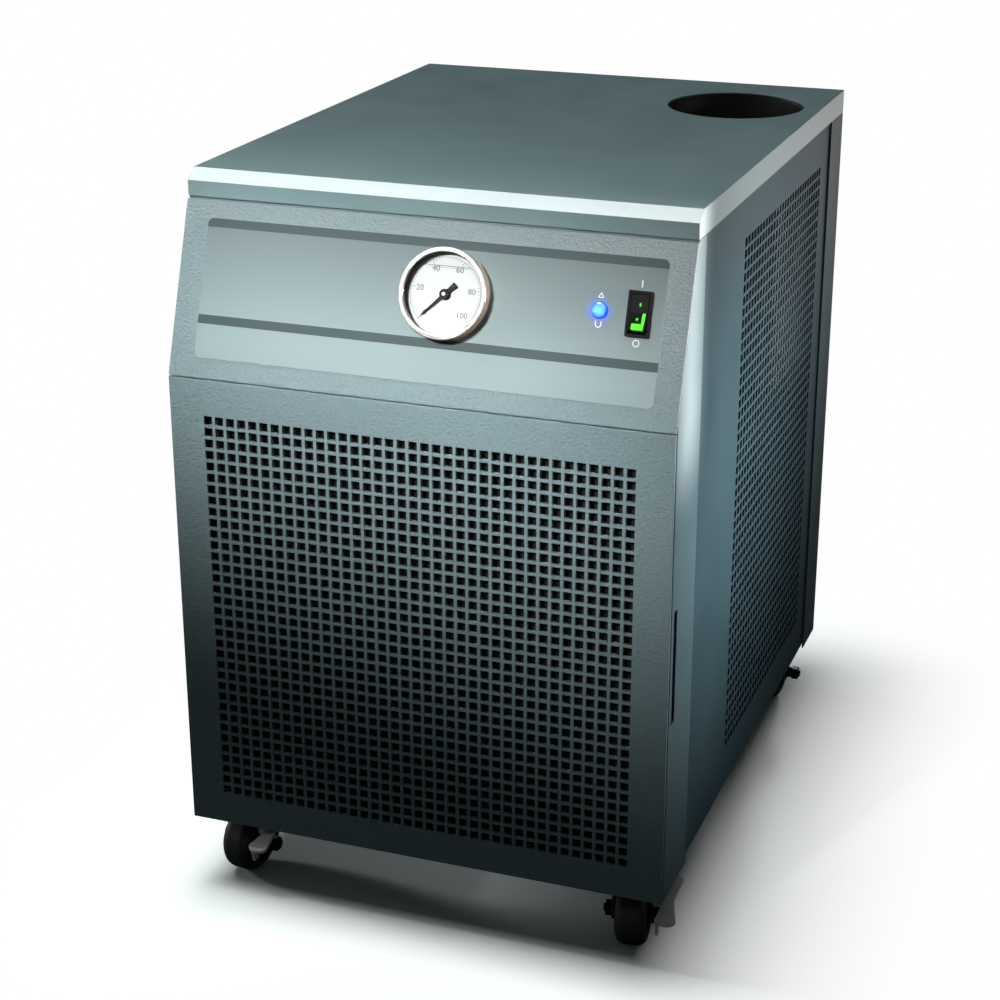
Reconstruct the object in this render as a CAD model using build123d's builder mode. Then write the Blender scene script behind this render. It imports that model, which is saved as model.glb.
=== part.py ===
# A floor-standing recirculating chiller on four casters, in millimetres.
# +X is the viewer's right, +Y runs from the front to the back, +Z is up.
# The origin lies on the floor under the middle of the whole object's box.

import os
from math import atan2, cos, degrees, hypot, radians, sin

from build123d import *

os.makedirs("parts", exist_ok=True)

# Driving dimensions of the cabinet
case_width = 368.0
case_depth = 495.0
ground_gap = 55.0
crease_height = 351.0
lid_lip_height = 469.2
lid_top_height = 487.6
slope_run = 41.7
sheet = 1.2
seam = 0.3

# Lid
lid_set_back = 43.2
lid_chamfer_run = 9.9
lid_chamfer_drop = 7.3
lid_lip_gap = 1.5
fill_hole_side_room = 67.5
fill_hole_depth = 400.0
fill_hole_diameter = 108.0

# Front panels and the frame behind them
front_skin = 2.0
cheek_gap = 2.5
fascia_gap = 0.7
cheek_depth = 61.9
frame_flange = 15.5
skirt_rail = 20.0
crease_rail = 11.0
control_window_low = 12.0
control_window_high = 114.0
finger_slot_width = 7.5
finger_slot_length = 85.0
finger_slot_low = 135.6
finger_slot_set_back = 10.3
edge_round = 0.8

# Perforation: square holes on a square pitch
hole_pitch = 8.6
hole_side = 6.2
front_columns = 37
front_rows = 35
front_field_low = 24.9
side_columns = 29
side_rows = 47
side_field_low = 36.4
side_field_front = 176.1

# Catches that hold the grille panel
stud_radius = 3.0
stud_inset = 8.0
stud_height = 36.0
stud_length = 11.0
catch_radius = 6.5
catch_length = 9.0
catch_play = 0.3

# Side and rear panels
side_lift = 3.0
side_lap = 12.0
rear_wrap = 43.0
vent_length = 112.0
vent_width = 6.0
vent_pitch = 13.0
vent_count = 12
vent_low = 236.0
vent_side_room = 106.0
screw_radius = 3.6
screw_head = 2.0

# Chassis
pan_lift = 13.0
pan_lip = 12.0
post_leg = 12.0
shelf_height = 278.0
shelf_front = 104.0
shelf_lip = 12.0
shelf_hole_play = 3.0

# Controls on the sloped face; heights are measured up the slope from the crease
overlay_left_margin = 18.4
overlay_right_margin = 17.2
overlay_low = 14.5
overlay_high = 111.7
overlay_skin = 0.5
overlay_corner = 4.0
gauge_x = 16.0
gauge_up = 75.0
gauge_radius = 31.2
gauge_stand = 10.0
gauge_rim = 3.4
gauge_skirt_wall = 0.8
gauge_can_radius = 27.0
gauge_can_depth = 27.0
gauge_can_wall = 1.2
gauge_flange = 1.2
gauge_dial_skin = 0.8
gauge_glass = 1.6
gauge_glass_height = 6.0
gauge_stem_radius = 6.5
gauge_stem_length = 16.0
pointer_height = 3.9
pointer_skin = 0.8
pointer_reach = 21.5
pointer_tail = 10.0
pointer_hub = 3.6
pointer_spindle = 1.5
zero_angle = 225.0
lamp_side_room = 60.6
lamp_up = 74.8
lamp_radius = 5.7
lamp_rim = 1.2
lamp_dome = 2.6
lamp_body_radius = 4.6
lamp_body_length = 15.0
lamp_nut_radius = 7.4
lamp_nut_length = 4.0
switch_side_room = 33.6
switch_up = 74.8
switch_width = 16.5
switch_height = 30.3
switch_rim = 2.0
switch_stand = 1.8
switch_body_inset = 1.5
switch_body_depth = 20.0
rocker_play = 0.4
rocker_end_play = 1.4
rocker_tilt = 9.0
rocker_rise = 3.4
rocker_pivot = 4.0
rocker_root = 5.0
rocker_pin = 1.2

# Casters: positions are those of the swivel pins
wheel_radius = 25.0
wheel_width = 23.0
wheel_shoulder = 7.0
wheel_dish = 2.5
wheel_rim_wall = 6.0
hub_radius = 8.0
fork_sheet = 2.5
fork_play = 1.5
fork_crown_radius = 21.0
fork_crown_z = 56.5
fork_foot_radius = 8.0
fork_neck = 12.0
trail = 17.5
axle_radius = 3.0
axle_collar_radius = 4.6
axle_collar_length = 5.5
nut_across = 10.0
nut_length = 5.0
bolt_end = 1.5
king_pin_radius = 5.0
king_pin_head_radius = 8.5
king_pin_head = 3.0
race_radius = 19.0
plate_side = 56.0
plate_sheet = 2.5
plate_bolt_spacing = 46.0
plate_bolt_across = 8.0
plate_bolt_head = 3.5
caster_side_inset = 32.0
caster_front_inset = 50.5
caster_rear_inset = 49.5
front_swing = 8.0
rear_swing = 3.0
facing_back = 180.0
pedal_width = 15.0
pedal_waist = 6.5
pedal_half_length = 26.0
pedal_sheet = 2.4
pedal_lip = 2.0
pedal_out = 26.5
pedal_forward = 7.5
pedal_rise = 14.0
pedal_tilt = 13.0
pedal_barrel_radius = 3.6
pedal_pin_radius = 2.0
pedal_finger = 14.0
pedal_finger_width = 5.0
pedal_finger_sheet = 2.2

# Cold side and air side
filter_thickness = 6.0
filter_lap = 5.0
core_side_room = 30.0
core_height = 295.0
core_thickness = 40.0
core_low = 18.0
core_fins = 24
core_fin_slot = 3.0
core_fin_cut = 2.0
manifold_radius = 6.4
shroud_depth = 30.0
fan_radius = 123.0
fan_tip_gap = 5.0
fan_hub_radius = 31.0
fan_hub_length = 24.0
fan_blade_count = 5
blade_root_chord = 34.0
blade_tip_chord = 66.0
blade_root_pitch = 38.0
blade_tip_pitch = 17.0
blade_skin = 1.8
spider_bar = 16.0
spider_skin = 2.5
spider_ring = 30.0
motor_shaft_radius = 5.0
motor_radius = 46.0
motor_length = 62.0
compressor_side_room = 104.0
compressor_depth = 300.0
compressor_radius = 75.0
compressor_body = 96.0
compressor_dome = 36.0
compressor_foot = 3.0
grommet_radius = 10.0
grommet_height = 18.0
grommet_spacing = 118.0
terminal_box = 44.0
pump_side_room = 84.0
pump_axis_rise = 64.0
pump_head_front = 216.0
pump_head_radius = 39.0
pump_head_length = 46.0
pump_motor_radius = 52.0
pump_motor_length = 130.0
pump_foot_width = 90.0
pump_foot_length = 96.0
tank_side_room = 81.0
tank_depth = 393.0
tank_width = 144.0
tank_length = 150.0
tank_height = 148.0
tank_corner = 14.0
neck_radius = 21.0
neck_wall = 2.0
neck_rise = 12.0
well_wall = 2.0
well_rim = 6.0
cap_radius = 27.0
cap_wall = 2.5
cap_grip_width = 8.0
cap_grip_height = 12.0
exchanger_x = -23.0
exchanger_depth = 401.0
exchanger_width = 74.0
exchanger_thickness = 42.0
exchanger_height = 172.0
exchanger_plates = 16
control_box_side_room = 61.0
control_box_depth = 335.0
control_box_width = 96.0
control_box_length = 86.0
control_box_height = 84.0
control_box_lid = 3.0

# Pipes and hoses
line_radius = 4.8
line_bend = 16.0
hose_radius = 8.5
hose_bend = 20.0
drier_radius = 15.0
drier_length = 100.0
drier_front = 120.0
liquid_line_rise = 30.8
discharge_drop = 33.0
riser_depth = 452.0
liquid_riser_depth = 436.0
suction_x = -18.0
suction_depth = 280.0
suction_rise = 110.8
hose_drop = 41.0
pump_feed_x = -44.0
pump_feed_depth = 176.0
tank_outlet_inset = 43.0
tank_outlet_depth = 400.0

# Rear connections
port_radius = 10.45
port_bore = 6.5
port_reach = 24.0
port_hex_across = 30.0
port_hex_length = 8.0
port_tail = 16.0
port_height = 154.0
supply_x = -38.0
return_x = -100.0
inlet_side_room = 80.0
inlet_height = 96.0
inlet_width = 50.0
inlet_tall = 26.0
inlet_flange = 3.0
inlet_body_inset = 12.0
inlet_recess_width = 24.0
inlet_recess_tall = 16.5
inlet_recess_depth = 17.0
inlet_body_depth = 24.0
inlet_pin_width = 4.0
inlet_pin_skin = 2.0
inlet_pin_length = 11.5
inlet_pin_spacing = 7.0
drain_x = 40.0
drain_height = 40.0

running = 0.05
rest_gap = 0.3

# Places worked out from the driving dimensions
front_y = -(case_depth + port_reach) / 2
rear_y = front_y + case_depth
half_width = case_width / 2
caster_x = half_width - caster_side_inset
core_width = case_width - 2 * core_side_room
pump_x = pump_side_room - half_width
compressor_x = half_width - compressor_side_room
tank_x = half_width - tank_side_room
tank_outlet_x = tank_x - tank_outlet_inset
fill_hole_x = half_width - fill_hole_side_room
inlet_x = half_width - inlet_side_room
control_box_x = control_box_side_room - half_width
overlay_left = overlay_left_margin - half_width
overlay_right = half_width - overlay_right_margin
lamp_x = half_width - lamp_side_room
switch_x = half_width - switch_side_room
vent_x = half_width - vent_side_room
crease_z = ground_gap + crease_height
lip_z = ground_gap + lid_lip_height
lid_z = ground_gap + lid_top_height
skirt_z = ground_gap
fascia_top = lip_z - lid_lip_gap
slope = slope_run / (fascia_top - crease_z)
slope_angle = degrees(atan2(slope_run, fascia_top - crease_z))
slope_length = hypot(slope_run, fascia_top - crease_z)
lean = 1 / cos(radians(slope_angle))
side_x = half_width - sheet - seam
chassis_x = side_x - sheet - seam
post_x = chassis_x - sheet - seam
frame_y = front_y + front_skin + cheek_gap
cheek_y = front_y + cheek_depth
seam_y = rear_y - rear_wrap
pan_z = ground_gap + pan_lift
floor_z = pan_z + sheet
pan_front = frame_y + sheet + seam
pan_back = rear_y - sheet - seam
post_front = cheek_y
post_back = pan_back - sheet - seam
shelf_z = ground_gap + shelf_height
shelf_top = shelf_z + sheet
under_shelf_z = shelf_z - hose_drop
discharge_line_z = shelf_z - discharge_drop
liquid_line_z = floor_z + liquid_line_rise
suction_z = floor_z + suction_rise
shelf_side = post_x - sheet - seam
under_lid = lid_z - sheet - seam
fill_y = front_y + fill_hole_depth

# The sloped face's own plane: x to the viewer's right, y up the slope, z outwards
slope_plane = Plane(
    origin=(0, front_y, crease_z),
    x_dir=(1, 0, 0),
    z_dir=(0, -cos(radians(slope_angle)), sin(radians(slope_angle))),
)


def save(piece, name):
    """Label one finished piece and write it to its own file."""
    piece.label = name
    export_step(piece, f"parts/{name}.step")


def slope_level(height):
    """Return the sloped face's plane, raised outwards by height."""
    return slope_plane.offset(height)


def crossed_slots(plane, width, tall, columns, rows, field, thickness):
    """Make a perforated sheet as two layers face to face.

    The outer layer has the upright slots and the inner one the level slots,
    so that the two together are open only at the square holes.
    """
    middle_x, middle_y = field
    run_x = hole_pitch * (columns - 1) + hole_side
    run_y = hole_pitch * (rows - 1) + hole_side
    with BuildPart() as upright:
        with BuildSketch(plane):
            Rectangle(width, tall, align=(Align.MIN, Align.MIN))
            with Locations((middle_x, middle_y)):
                with GridLocations(hole_pitch, 1, columns, 1):
                    Rectangle(hole_side, run_y, mode=Mode.SUBTRACT)
        extrude(amount=thickness / 2)
    with BuildPart() as level:
        with BuildSketch(plane.offset(-thickness / 2)):
            Rectangle(width, tall, align=(Align.MIN, Align.MIN))
            with Locations((middle_x, middle_y)):
                with GridLocations(1, hole_pitch, 1, rows):
                    Rectangle(run_x, hole_side, mode=Mode.SUBTRACT)
        extrude(amount=thickness / 2)
    return upright.part, level.part


def pipe(points, radius, bend):
    """Sweep a round line along straight runs joined by arcs."""
    with BuildPart() as line:
        with BuildLine() as path:
            FilletPolyline(*points, radius=bend)
        with BuildSketch(Plane(origin=path.line @ 0, z_dir=path.line % 0)):
            Circle(radius)
        sweep()
    return line.part


# Chassis: a folded base pan, four angle posts and the shelf for the cold side
with BuildPart() as base_pan:
    with BuildSketch(Plane.XY.offset(pan_z)):
        with Locations((0, (pan_front + pan_back) / 2)):
            Rectangle(2 * chassis_x, pan_back - pan_front)
    extrude(amount=pan_lip)
    offset(amount=-sheet, openings=base_pan.faces().sort_by(Axis.Z)[-1])
save(base_pan.part, "base_pan")

with BuildPart() as corner_posts:
    with BuildSketch(Plane.XY.offset(floor_z)):
        for side in (-1, 1):
            for corner, inward in ((post_front, 1), (post_back, -1)):
                with Locations((side * (post_x - post_leg / 2), corner + inward * sheet / 2)):
                    Rectangle(post_leg, sheet)
                with Locations((side * (post_x - sheet / 2), corner + inward * post_leg / 2)):
                    Rectangle(sheet, post_leg)
    extrude(amount=under_lid - floor_z)
save(corner_posts.part, "corner_posts")

shelf_y = front_y + shelf_front
shelf_back = post_back - sheet - seam
lip_front = post_front + sheet + seam
riser_y = front_y + riser_depth
liquid_riser_y = front_y + liquid_riser_depth
pump_head_y = front_y + pump_head_front + pump_head_length / 2
drier_x = -(core_width / 2 + sheet + rest_gap + manifold_radius)
suction_y = front_y + suction_depth
outlet_y = front_y + tank_outlet_depth
shelf_holes = [
    (tank_outlet_x, outlet_y, hose_radius),
    (pump_x, pump_head_y, hose_radius),
    (supply_x, riser_y, hose_radius),
    (return_x, riser_y, hose_radius),
    (drier_x, liquid_riser_y, line_radius),
    (suction_x, suction_y, line_radius),
]
with BuildPart() as component_shelf:
    with BuildSketch(Plane.XY.offset(shelf_z)):
        with Locations((0, (shelf_y + shelf_back) / 2)):
            Rectangle(2 * shelf_side, shelf_back - shelf_y)
        for hole_x, hole_y, radius in shelf_holes:
            with Locations((hole_x, hole_y)):
                Circle(radius + shelf_hole_play, mode=Mode.SUBTRACT)
    extrude(amount=sheet)
    with BuildSketch(Plane.XY.offset(shelf_z - shelf_lip)):
        for side in (-1, 1):
            with Locations((side * (shelf_side - sheet / 2), (lip_front + shelf_back) / 2)):
                Rectangle(sheet, shelf_back - lip_front)
    extrude(amount=shelf_lip + sheet)
save(component_shelf.part, "component_shelf")

# Front frame: one folded sheet with full-height cheeks, flanges and two openings
frame_top = lip_z - seam
frame_back = (front_skin + fascia_gap) * lean


def cheek_outline(inset):
    """Return the frame's side outline, with its front set back by inset."""
    slope_at_crease = front_y + frame_back + inset * lean
    front = frame_y + inset
    knee = crease_z + (front - slope_at_crease) / slope
    return [
        (front, skirt_z),
        (front, knee),
        (slope_at_crease + slope * (frame_top - crease_z), frame_top),
        (cheek_y, frame_top),
        (cheek_y, skirt_z),
    ]


with BuildPart() as front_frame:
    with BuildSketch(Plane.YZ):
        with BuildLine():
            Polyline(*cheek_outline(0), close=True)
        make_face()
    extrude(amount=half_width, both=True)
    with BuildSketch(Plane.YZ):
        with BuildLine():
            Polyline(*cheek_outline(sheet), close=True)
        make_face()
    extrude(amount=half_width - sheet, both=True, mode=Mode.SUBTRACT)
    with BuildSketch(Plane.XZ.offset(-frame_y + sheet)):
        with Locations((0, (skirt_z + skirt_rail + crease_z - crease_rail) / 2)):
            Rectangle(case_width - 2 * frame_flange, crease_height - skirt_rail - crease_rail)
    extrude(amount=-3 * sheet, mode=Mode.SUBTRACT)
    with BuildSketch(slope_level(0)):
        with Locations((0, (control_window_low + control_window_high) / 2)):
            Rectangle(case_width - 2 * frame_flange, control_window_high - control_window_low)
    extrude(amount=-frame_back - 2 * sheet, mode=Mode.SUBTRACT)
    slot_y = front_y + finger_slot_set_back + finger_slot_width / 2
    with BuildSketch(Plane.YZ):
        with Locations((slot_y, skirt_z + finger_slot_low + finger_slot_length / 2)):
            Rectangle(finger_slot_width, finger_slot_length)
    extrude(amount=half_width, both=True, mode=Mode.SUBTRACT)
    stud_x = half_width - stud_inset
    stud_levels = (skirt_z + stud_height, crease_z - stud_height)
    with BuildSketch(Plane.XZ.offset(-frame_y + sheet)):
        for level in stud_levels:
            with Locations((-stud_x, level), (stud_x, level)):
                Circle(stud_radius + catch_play)
    extrude(amount=-3 * sheet, mode=Mode.SUBTRACT)
save(front_frame.part, "front_frame")

# Grille panel with its four press studs, and the catches in the frame
panel_tall = crease_z - seam - front_skin * sin(radians(slope_angle)) - skirt_z
panel_plane = Plane(origin=(-half_width, front_y + front_skin / 2, skirt_z), x_dir=(1, 0, 0), z_dir=(0, -1, 0))
field_middle = front_field_low + (hole_pitch * (front_rows - 1) + hole_side) / 2
grille_layers = crossed_slots(
    panel_plane, case_width, panel_tall, front_columns, front_rows, (half_width, field_middle), front_skin
)
with BuildPart() as grille_studs:
    with BuildSketch(Plane.XZ.offset(-front_y - front_skin)):
        for level in stud_levels:
            with Locations((-stud_x, level), (stud_x, level)):
                Circle(stud_radius)
    extrude(amount=-stud_length)
    fillet(grille_studs.faces().sort_by(Axis.Y)[-4:].edges(), radius=stud_radius / 2)
grille_panel = Compound(children=[*grille_layers, *grille_studs.part.solids()])
save(grille_panel, "grille_panel")

with BuildPart() as grille_catches:
    with BuildSketch(Plane.XZ.offset(-frame_y - sheet)):
        for level in stud_levels:
            with Locations((-stud_x, level), (stud_x, level)):
                Circle(catch_radius)
                Circle(stud_radius + catch_play, mode=Mode.SUBTRACT)
    extrude(amount=-catch_length)
save(grille_catches.part, "grille_catches")

# Sloped fascia and the smooth overlay on it, cut for the gauge, the lamp and the switch
switch_body_width = switch_width - 2 * switch_body_inset
switch_body_height = switch_height - 2 * switch_body_inset


def control_cuts():
    """Cut the three control openings into the current sketch on the sloped face."""
    with Locations((gauge_x, gauge_up)):
        Circle(gauge_can_radius + rest_gap, mode=Mode.SUBTRACT)
    with Locations((lamp_x, lamp_up)):
        Circle(lamp_body_radius + rest_gap, mode=Mode.SUBTRACT)
    with Locations((switch_x, switch_up)):
        Rectangle(switch_body_width + rest_gap, switch_body_height + rest_gap, mode=Mode.SUBTRACT)


with BuildPart() as fascia:
    with BuildSketch(slope_level(-front_skin)):
        with Locations((0, slope_length / 2)):
            Rectangle(case_width, slope_length)
        control_cuts()
    extrude(amount=front_skin)
    fillet(fascia.edges().filter_by(Axis.X).group_by(Axis.Y)[0], radius=edge_round)
save(fascia.part, "fascia")

overlay_middle = ((overlay_left + overlay_right) / 2, (overlay_low + overlay_high) / 2)
with BuildPart() as control_overlay:
    with BuildSketch(slope_level(0)):
        with Locations(overlay_middle):
            RectangleRounded(overlay_right - overlay_left, overlay_high - overlay_low, overlay_corner)
        control_cuts()
    extrude(amount=overlay_skin)
save(control_overlay.part, "control_overlay")

# Side panels: perforated sheets lapped behind the cheek, the rear wrap and the lid
side_low = skirt_z + side_lift
side_high = lid_z - lid_chamfer_drop - sheet - seam
side_front = cheek_y - side_lap
side_back = seam_y + side_lap
side_field = (
    front_y + side_field_front + (hole_pitch * (side_columns - 1) + hole_side) / 2 - side_front,
    skirt_z + side_field_low + (hole_pitch * (side_rows - 1) + hole_side) / 2 - side_low,
)
side_plane = Plane(origin=(side_x - sheet / 2, side_front, side_low), x_dir=(0, 1, 0), z_dir=(1, 0, 0))
side_layers = crossed_slots(
    side_plane, side_back - side_front, side_high - side_low, side_columns, side_rows, side_field, sheet
)
right_side_panel = Compound(children=list(side_layers))
save(right_side_panel, "right_side_panel")
left_side_panel = Compound(children=[layer.mirror(Plane.YZ) for layer in side_layers])
save(left_side_panel, "left_side_panel")

# Rear panel: one sheet folded round both rear corners, with vents and connection holes
port_z = skirt_z + port_height
inlet_z = skirt_z + inlet_height
drain_z = skirt_z + drain_height
with BuildPart() as rear_panel:
    with BuildSketch(Plane.XY.offset(skirt_z)):
        with Locations((0, (seam_y + rear_y) / 2)):
            Rectangle(case_width, rear_wrap)
        with Locations((0, (seam_y + rear_y) / 2 - sheet)):
            Rectangle(case_width - 2 * sheet, rear_wrap, mode=Mode.SUBTRACT)
    extrude(amount=lip_z - seam - skirt_z)
    with BuildSketch(Plane.XZ.offset(-rear_y - sheet)):
        with Locations((0, skirt_z + vent_low + vent_pitch * (vent_count - 1) / 2)):
            with GridLocations(2 * vent_x, vent_pitch, 2, vent_count):
                Rectangle(vent_length, vent_width)
        with Locations((supply_x, port_z), (return_x, port_z)):
            Circle(port_radius + rest_gap)
        with Locations((drain_x, drain_z)):
            Circle(port_radius + rest_gap)
        with Locations((inlet_x, inlet_z)):
            Rectangle(inlet_width - inlet_body_inset, inlet_tall - 2 * inlet_flange + 2 * rest_gap)
    extrude(amount=3 * sheet, mode=Mode.SUBTRACT)
save(rear_panel.part, "rear_panel")

# Lid: a folded cover with a chamfered front edge and the round fill opening
lid_front = front_y + lid_set_back
with BuildPart() as top_cover:
    with BuildSketch(Plane.YZ):
        with BuildLine():
            Polyline(
                (lid_front, lip_z),
                (lid_front, lid_z - lid_chamfer_drop),
                (lid_front + lid_chamfer_run, lid_z),
                (rear_y, lid_z),
                (rear_y, lip_z),
                close=True,
            )
        make_face()
    extrude(amount=half_width, both=True)
    offset(amount=-sheet, openings=top_cover.faces().sort_by(Axis.Z)[0])
    with BuildSketch(Plane.XY.offset(lid_z)):
        with Locations((fill_hole_x, fill_y)):
            Circle(fill_hole_diameter / 2)
    extrude(amount=-2 * sheet, mode=Mode.SUBTRACT)
save(top_cover.part, "top_cover")

# Fill well under the lid, the tank that it feeds and the lift-off cap
tank_y = front_y + tank_depth
tank_top = shelf_top + tank_height
well_top = lid_z - sheet
well_floor = tank_top + well_wall
with BuildPart() as fill_well:
    with BuildSketch(Plane.XY.offset(tank_top)):
        with Locations((fill_hole_x, fill_y)):
            Circle(fill_hole_diameter / 2 + well_wall)
    extrude(amount=well_top - tank_top)
    with BuildSketch(Plane.XY.offset(well_floor)):
        with Locations((fill_hole_x, fill_y)):
            Circle(fill_hole_diameter / 2)
    extrude(amount=well_top - well_floor, mode=Mode.SUBTRACT)
    with BuildSketch(Plane.XY.offset(well_top - well_wall)):
        with Locations((fill_hole_x, fill_y)):
            Circle(fill_hole_diameter / 2 + well_rim)
            Circle(fill_hole_diameter / 2, mode=Mode.SUBTRACT)
    extrude(amount=well_wall)
    with BuildSketch(Plane.XY.offset(tank_top)):
        with Locations((fill_hole_x, fill_y)):
            Circle(neck_radius + rest_gap)
    extrude(amount=well_wall, mode=Mode.SUBTRACT)
save(fill_well.part, "fill_well")

with BuildPart() as reservoir:
    with BuildSketch(Plane.XY.offset(shelf_top)):
        with Locations((tank_x, tank_y)):
            RectangleRounded(tank_width, tank_length, tank_corner)
    extrude(amount=tank_height)
    with BuildSketch(Plane.XY.offset(tank_top)):
        with Locations((fill_hole_x, fill_y)):
            Circle(neck_radius)
    extrude(amount=neck_rise)
    with BuildSketch(Plane.XY.offset(shelf_top + neck_wall)):
        with Locations((tank_x, tank_y)):
            RectangleRounded(
                tank_width - 2 * neck_wall, tank_length - 2 * neck_wall, tank_corner - neck_wall
            )
    extrude(amount=tank_height - 2 * neck_wall, mode=Mode.SUBTRACT)
    with BuildSketch(Plane.XY.offset(tank_top - neck_wall)):
        with Locations((fill_hole_x, fill_y)):
            Circle(neck_radius - neck_wall)
    extrude(amount=neck_rise + neck_wall, mode=Mode.SUBTRACT)
save(reservoir.part, "reservoir")

cap_floor = well_floor + rest_gap
neck_top = tank_top + neck_rise
with BuildPart() as filler_cap:
    with BuildSketch(Plane.XZ.offset(-fill_y)):
        with BuildLine():
            Polyline(
                (fill_hole_x + neck_radius + rest_gap, cap_floor),
                (fill_hole_x + cap_radius, cap_floor),
                (fill_hole_x + cap_radius, neck_top + rest_gap + cap_wall),
                (fill_hole_x, neck_top + rest_gap + cap_wall),
                (fill_hole_x, neck_top + rest_gap),
                (fill_hole_x + neck_radius + rest_gap, neck_top + rest_gap),
                close=True,
            )
        make_face()
    revolve(axis=Axis((fill_hole_x, fill_y, 0), (0, 0, 1)))
    with BuildSketch(Plane.XY.offset(neck_top + rest_gap + cap_wall)):
        with Locations((fill_hole_x, fill_y)):
            SlotOverall(2 * cap_radius - cap_grip_width, cap_grip_width)
    extrude(amount=cap_grip_height)
save(filler_cap.part, "filler_cap")

# Pressure gauge: can with its stem, clamp, dial, glass, bezel ring and pointer
gauge_seat = overlay_skin + rest_gap
dial_seat = gauge_seat + gauge_flange
bezel_inner = gauge_radius - gauge_rim + rest_gap
flange_radius = gauge_radius - gauge_skirt_wall - rest_gap
gauge_centre = (gauge_x, gauge_up)
with BuildPart() as gauge_case:
    with BuildSketch(slope_level(gauge_seat)):
        with Locations(gauge_centre):
            Circle(flange_radius)
    extrude(amount=gauge_flange)
    with BuildSketch(slope_level(dial_seat)):
        with Locations(gauge_centre):
            Circle(gauge_can_radius)
    extrude(amount=-gauge_can_depth - dial_seat)
    with BuildSketch(slope_level(dial_seat)):
        with Locations(gauge_centre):
            Circle(gauge_can_radius - gauge_can_wall)
    extrude(amount=-gauge_can_depth - dial_seat + gauge_can_wall, mode=Mode.SUBTRACT)
    with BuildSketch(slope_level(-gauge_can_depth)):
        with Locations(gauge_centre):
            RegularPolygon(gauge_stem_radius, 6)
    extrude(amount=-gauge_stem_length)
save(gauge_case.part, "gauge_case")

clamp_half = gauge_can_radius + rest_gap + gauge_can_wall
with BuildPart() as gauge_clamp:
    with BuildSketch(slope_level(-front_skin - rest_gap)):
        for side in (-1, 1):
            with Locations((gauge_x + side * (clamp_half + gauge_can_wall), gauge_up)):
                Rectangle(2 * gauge_can_wall, 2 * gauge_stem_radius)
    extrude(amount=-gauge_can_depth + front_skin - gauge_can_wall)
    with BuildSketch(slope_level(-gauge_can_depth - rest_gap)):
        with Locations(gauge_centre):
            Rectangle(2 * clamp_half + 4 * gauge_can_wall, 2 * gauge_stem_radius + 4 * gauge_can_wall)
            Circle(gauge_stem_radius + rest_gap, mode=Mode.SUBTRACT)
    extrude(amount=-gauge_can_wall)
save(gauge_clamp.part, "gauge_clamp")

with BuildPart() as gauge_dial:
    with BuildSketch(slope_level(dial_seat)):
        with Locations(gauge_centre):
            Circle(bezel_inner - rest_gap)
            Circle(pointer_spindle + running, mode=Mode.SUBTRACT)
    extrude(amount=gauge_dial_skin)
save(gauge_dial.part, "gauge_dial")

with BuildPart() as gauge_window:
    with BuildSketch(slope_level(gauge_seat + gauge_glass_height)):
        with Locations(gauge_centre):
            Circle(bezel_inner - rest_gap)
    extrude(amount=gauge_glass)
save(gauge_window.part, "gauge_window")

glass_top = gauge_seat + gauge_glass_height + gauge_glass
with BuildPart() as gauge_bezel:
    with BuildSketch(slope_level(gauge_seat)):
        with Locations(gauge_centre):
            Circle(gauge_radius)
            Circle(flange_radius + rest_gap / 2, mode=Mode.SUBTRACT)
    extrude(amount=gauge_flange)
    with BuildSketch(slope_level(dial_seat)):
        with Locations(gauge_centre):
            Circle(gauge_radius)
            Circle(bezel_inner, mode=Mode.SUBTRACT)
    extrude(amount=glass_top + rest_gap - dial_seat)
    with BuildSketch(slope_level(glass_top + rest_gap)):
        with Locations(gauge_centre):
            Circle(gauge_radius)
            Circle(gauge_radius - gauge_rim, mode=Mode.SUBTRACT)
    extrude(amount=gauge_stand - glass_top - rest_gap)
    rim_edges = gauge_bezel.faces().filter_by(GeomType.PLANE).sort_by(
        Axis((0, 0, 0), tuple(slope_plane.z_dir))
    )[-1].edges()
    fillet(rim_edges, radius=(gauge_stand - glass_top - rest_gap) / 2)
save(gauge_bezel.part, "gauge_bezel")

with BuildPart() as gauge_pointer:
    with BuildSketch(slope_level(pointer_height)):
        with Locations(gauge_centre):
            Polygon(
                (-pointer_tail, -pointer_hub / 2),
                (-pointer_tail, pointer_hub / 2),
                (0, pointer_hub / 3),
                (pointer_reach, pointer_spindle / 6),
                (pointer_reach, -pointer_spindle / 6),
                (0, -pointer_hub / 3),
                rotation=zero_angle,
                align=None,
            )
            Circle(pointer_hub)
    extrude(amount=pointer_skin)
    with BuildSketch(slope_level(dial_seat - gauge_glass)):
        with Locations(gauge_centre):
            Circle(pointer_spindle)
    extrude(amount=pointer_height - dial_seat + gauge_glass)
save(gauge_pointer.part, "gauge_pointer")

# Warning lamp: a domed lens with a rim, and its threaded body with a nut behind
with BuildPart() as warning_lamp:
    with BuildSketch(slope_level(overlay_skin)):
        with Locations((lamp_x, lamp_up)):
            Circle(lamp_radius)
    extrude(amount=lamp_rim)
    lamp_edge = warning_lamp.edges().filter_by(GeomType.CIRCLE).sort_by(
        Axis((0, 0, 0), tuple(slope_plane.z_dir))
    )[-1]
    fillet(lamp_edge, radius=lamp_rim * 0.8)
    with BuildSketch(slope_level(overlay_skin)):
        with Locations((lamp_x, lamp_up)):
            Circle(lamp_body_radius)
    extrude(amount=lamp_dome)
save(warning_lamp.part, "warning_lamp")

with BuildPart() as lamp_holder:
    with BuildSketch(slope_level(overlay_skin)):
        with Locations((lamp_x, lamp_up)):
            Circle(lamp_body_radius)
    extrude(amount=-lamp_body_length)
    with BuildSketch(slope_level(-front_skin)):
        with Locations((lamp_x, lamp_up)):
            RegularPolygon(lamp_nut_radius, 6)
    extrude(amount=-lamp_nut_length)
save(lamp_holder.part, "lamp_holder")

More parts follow.
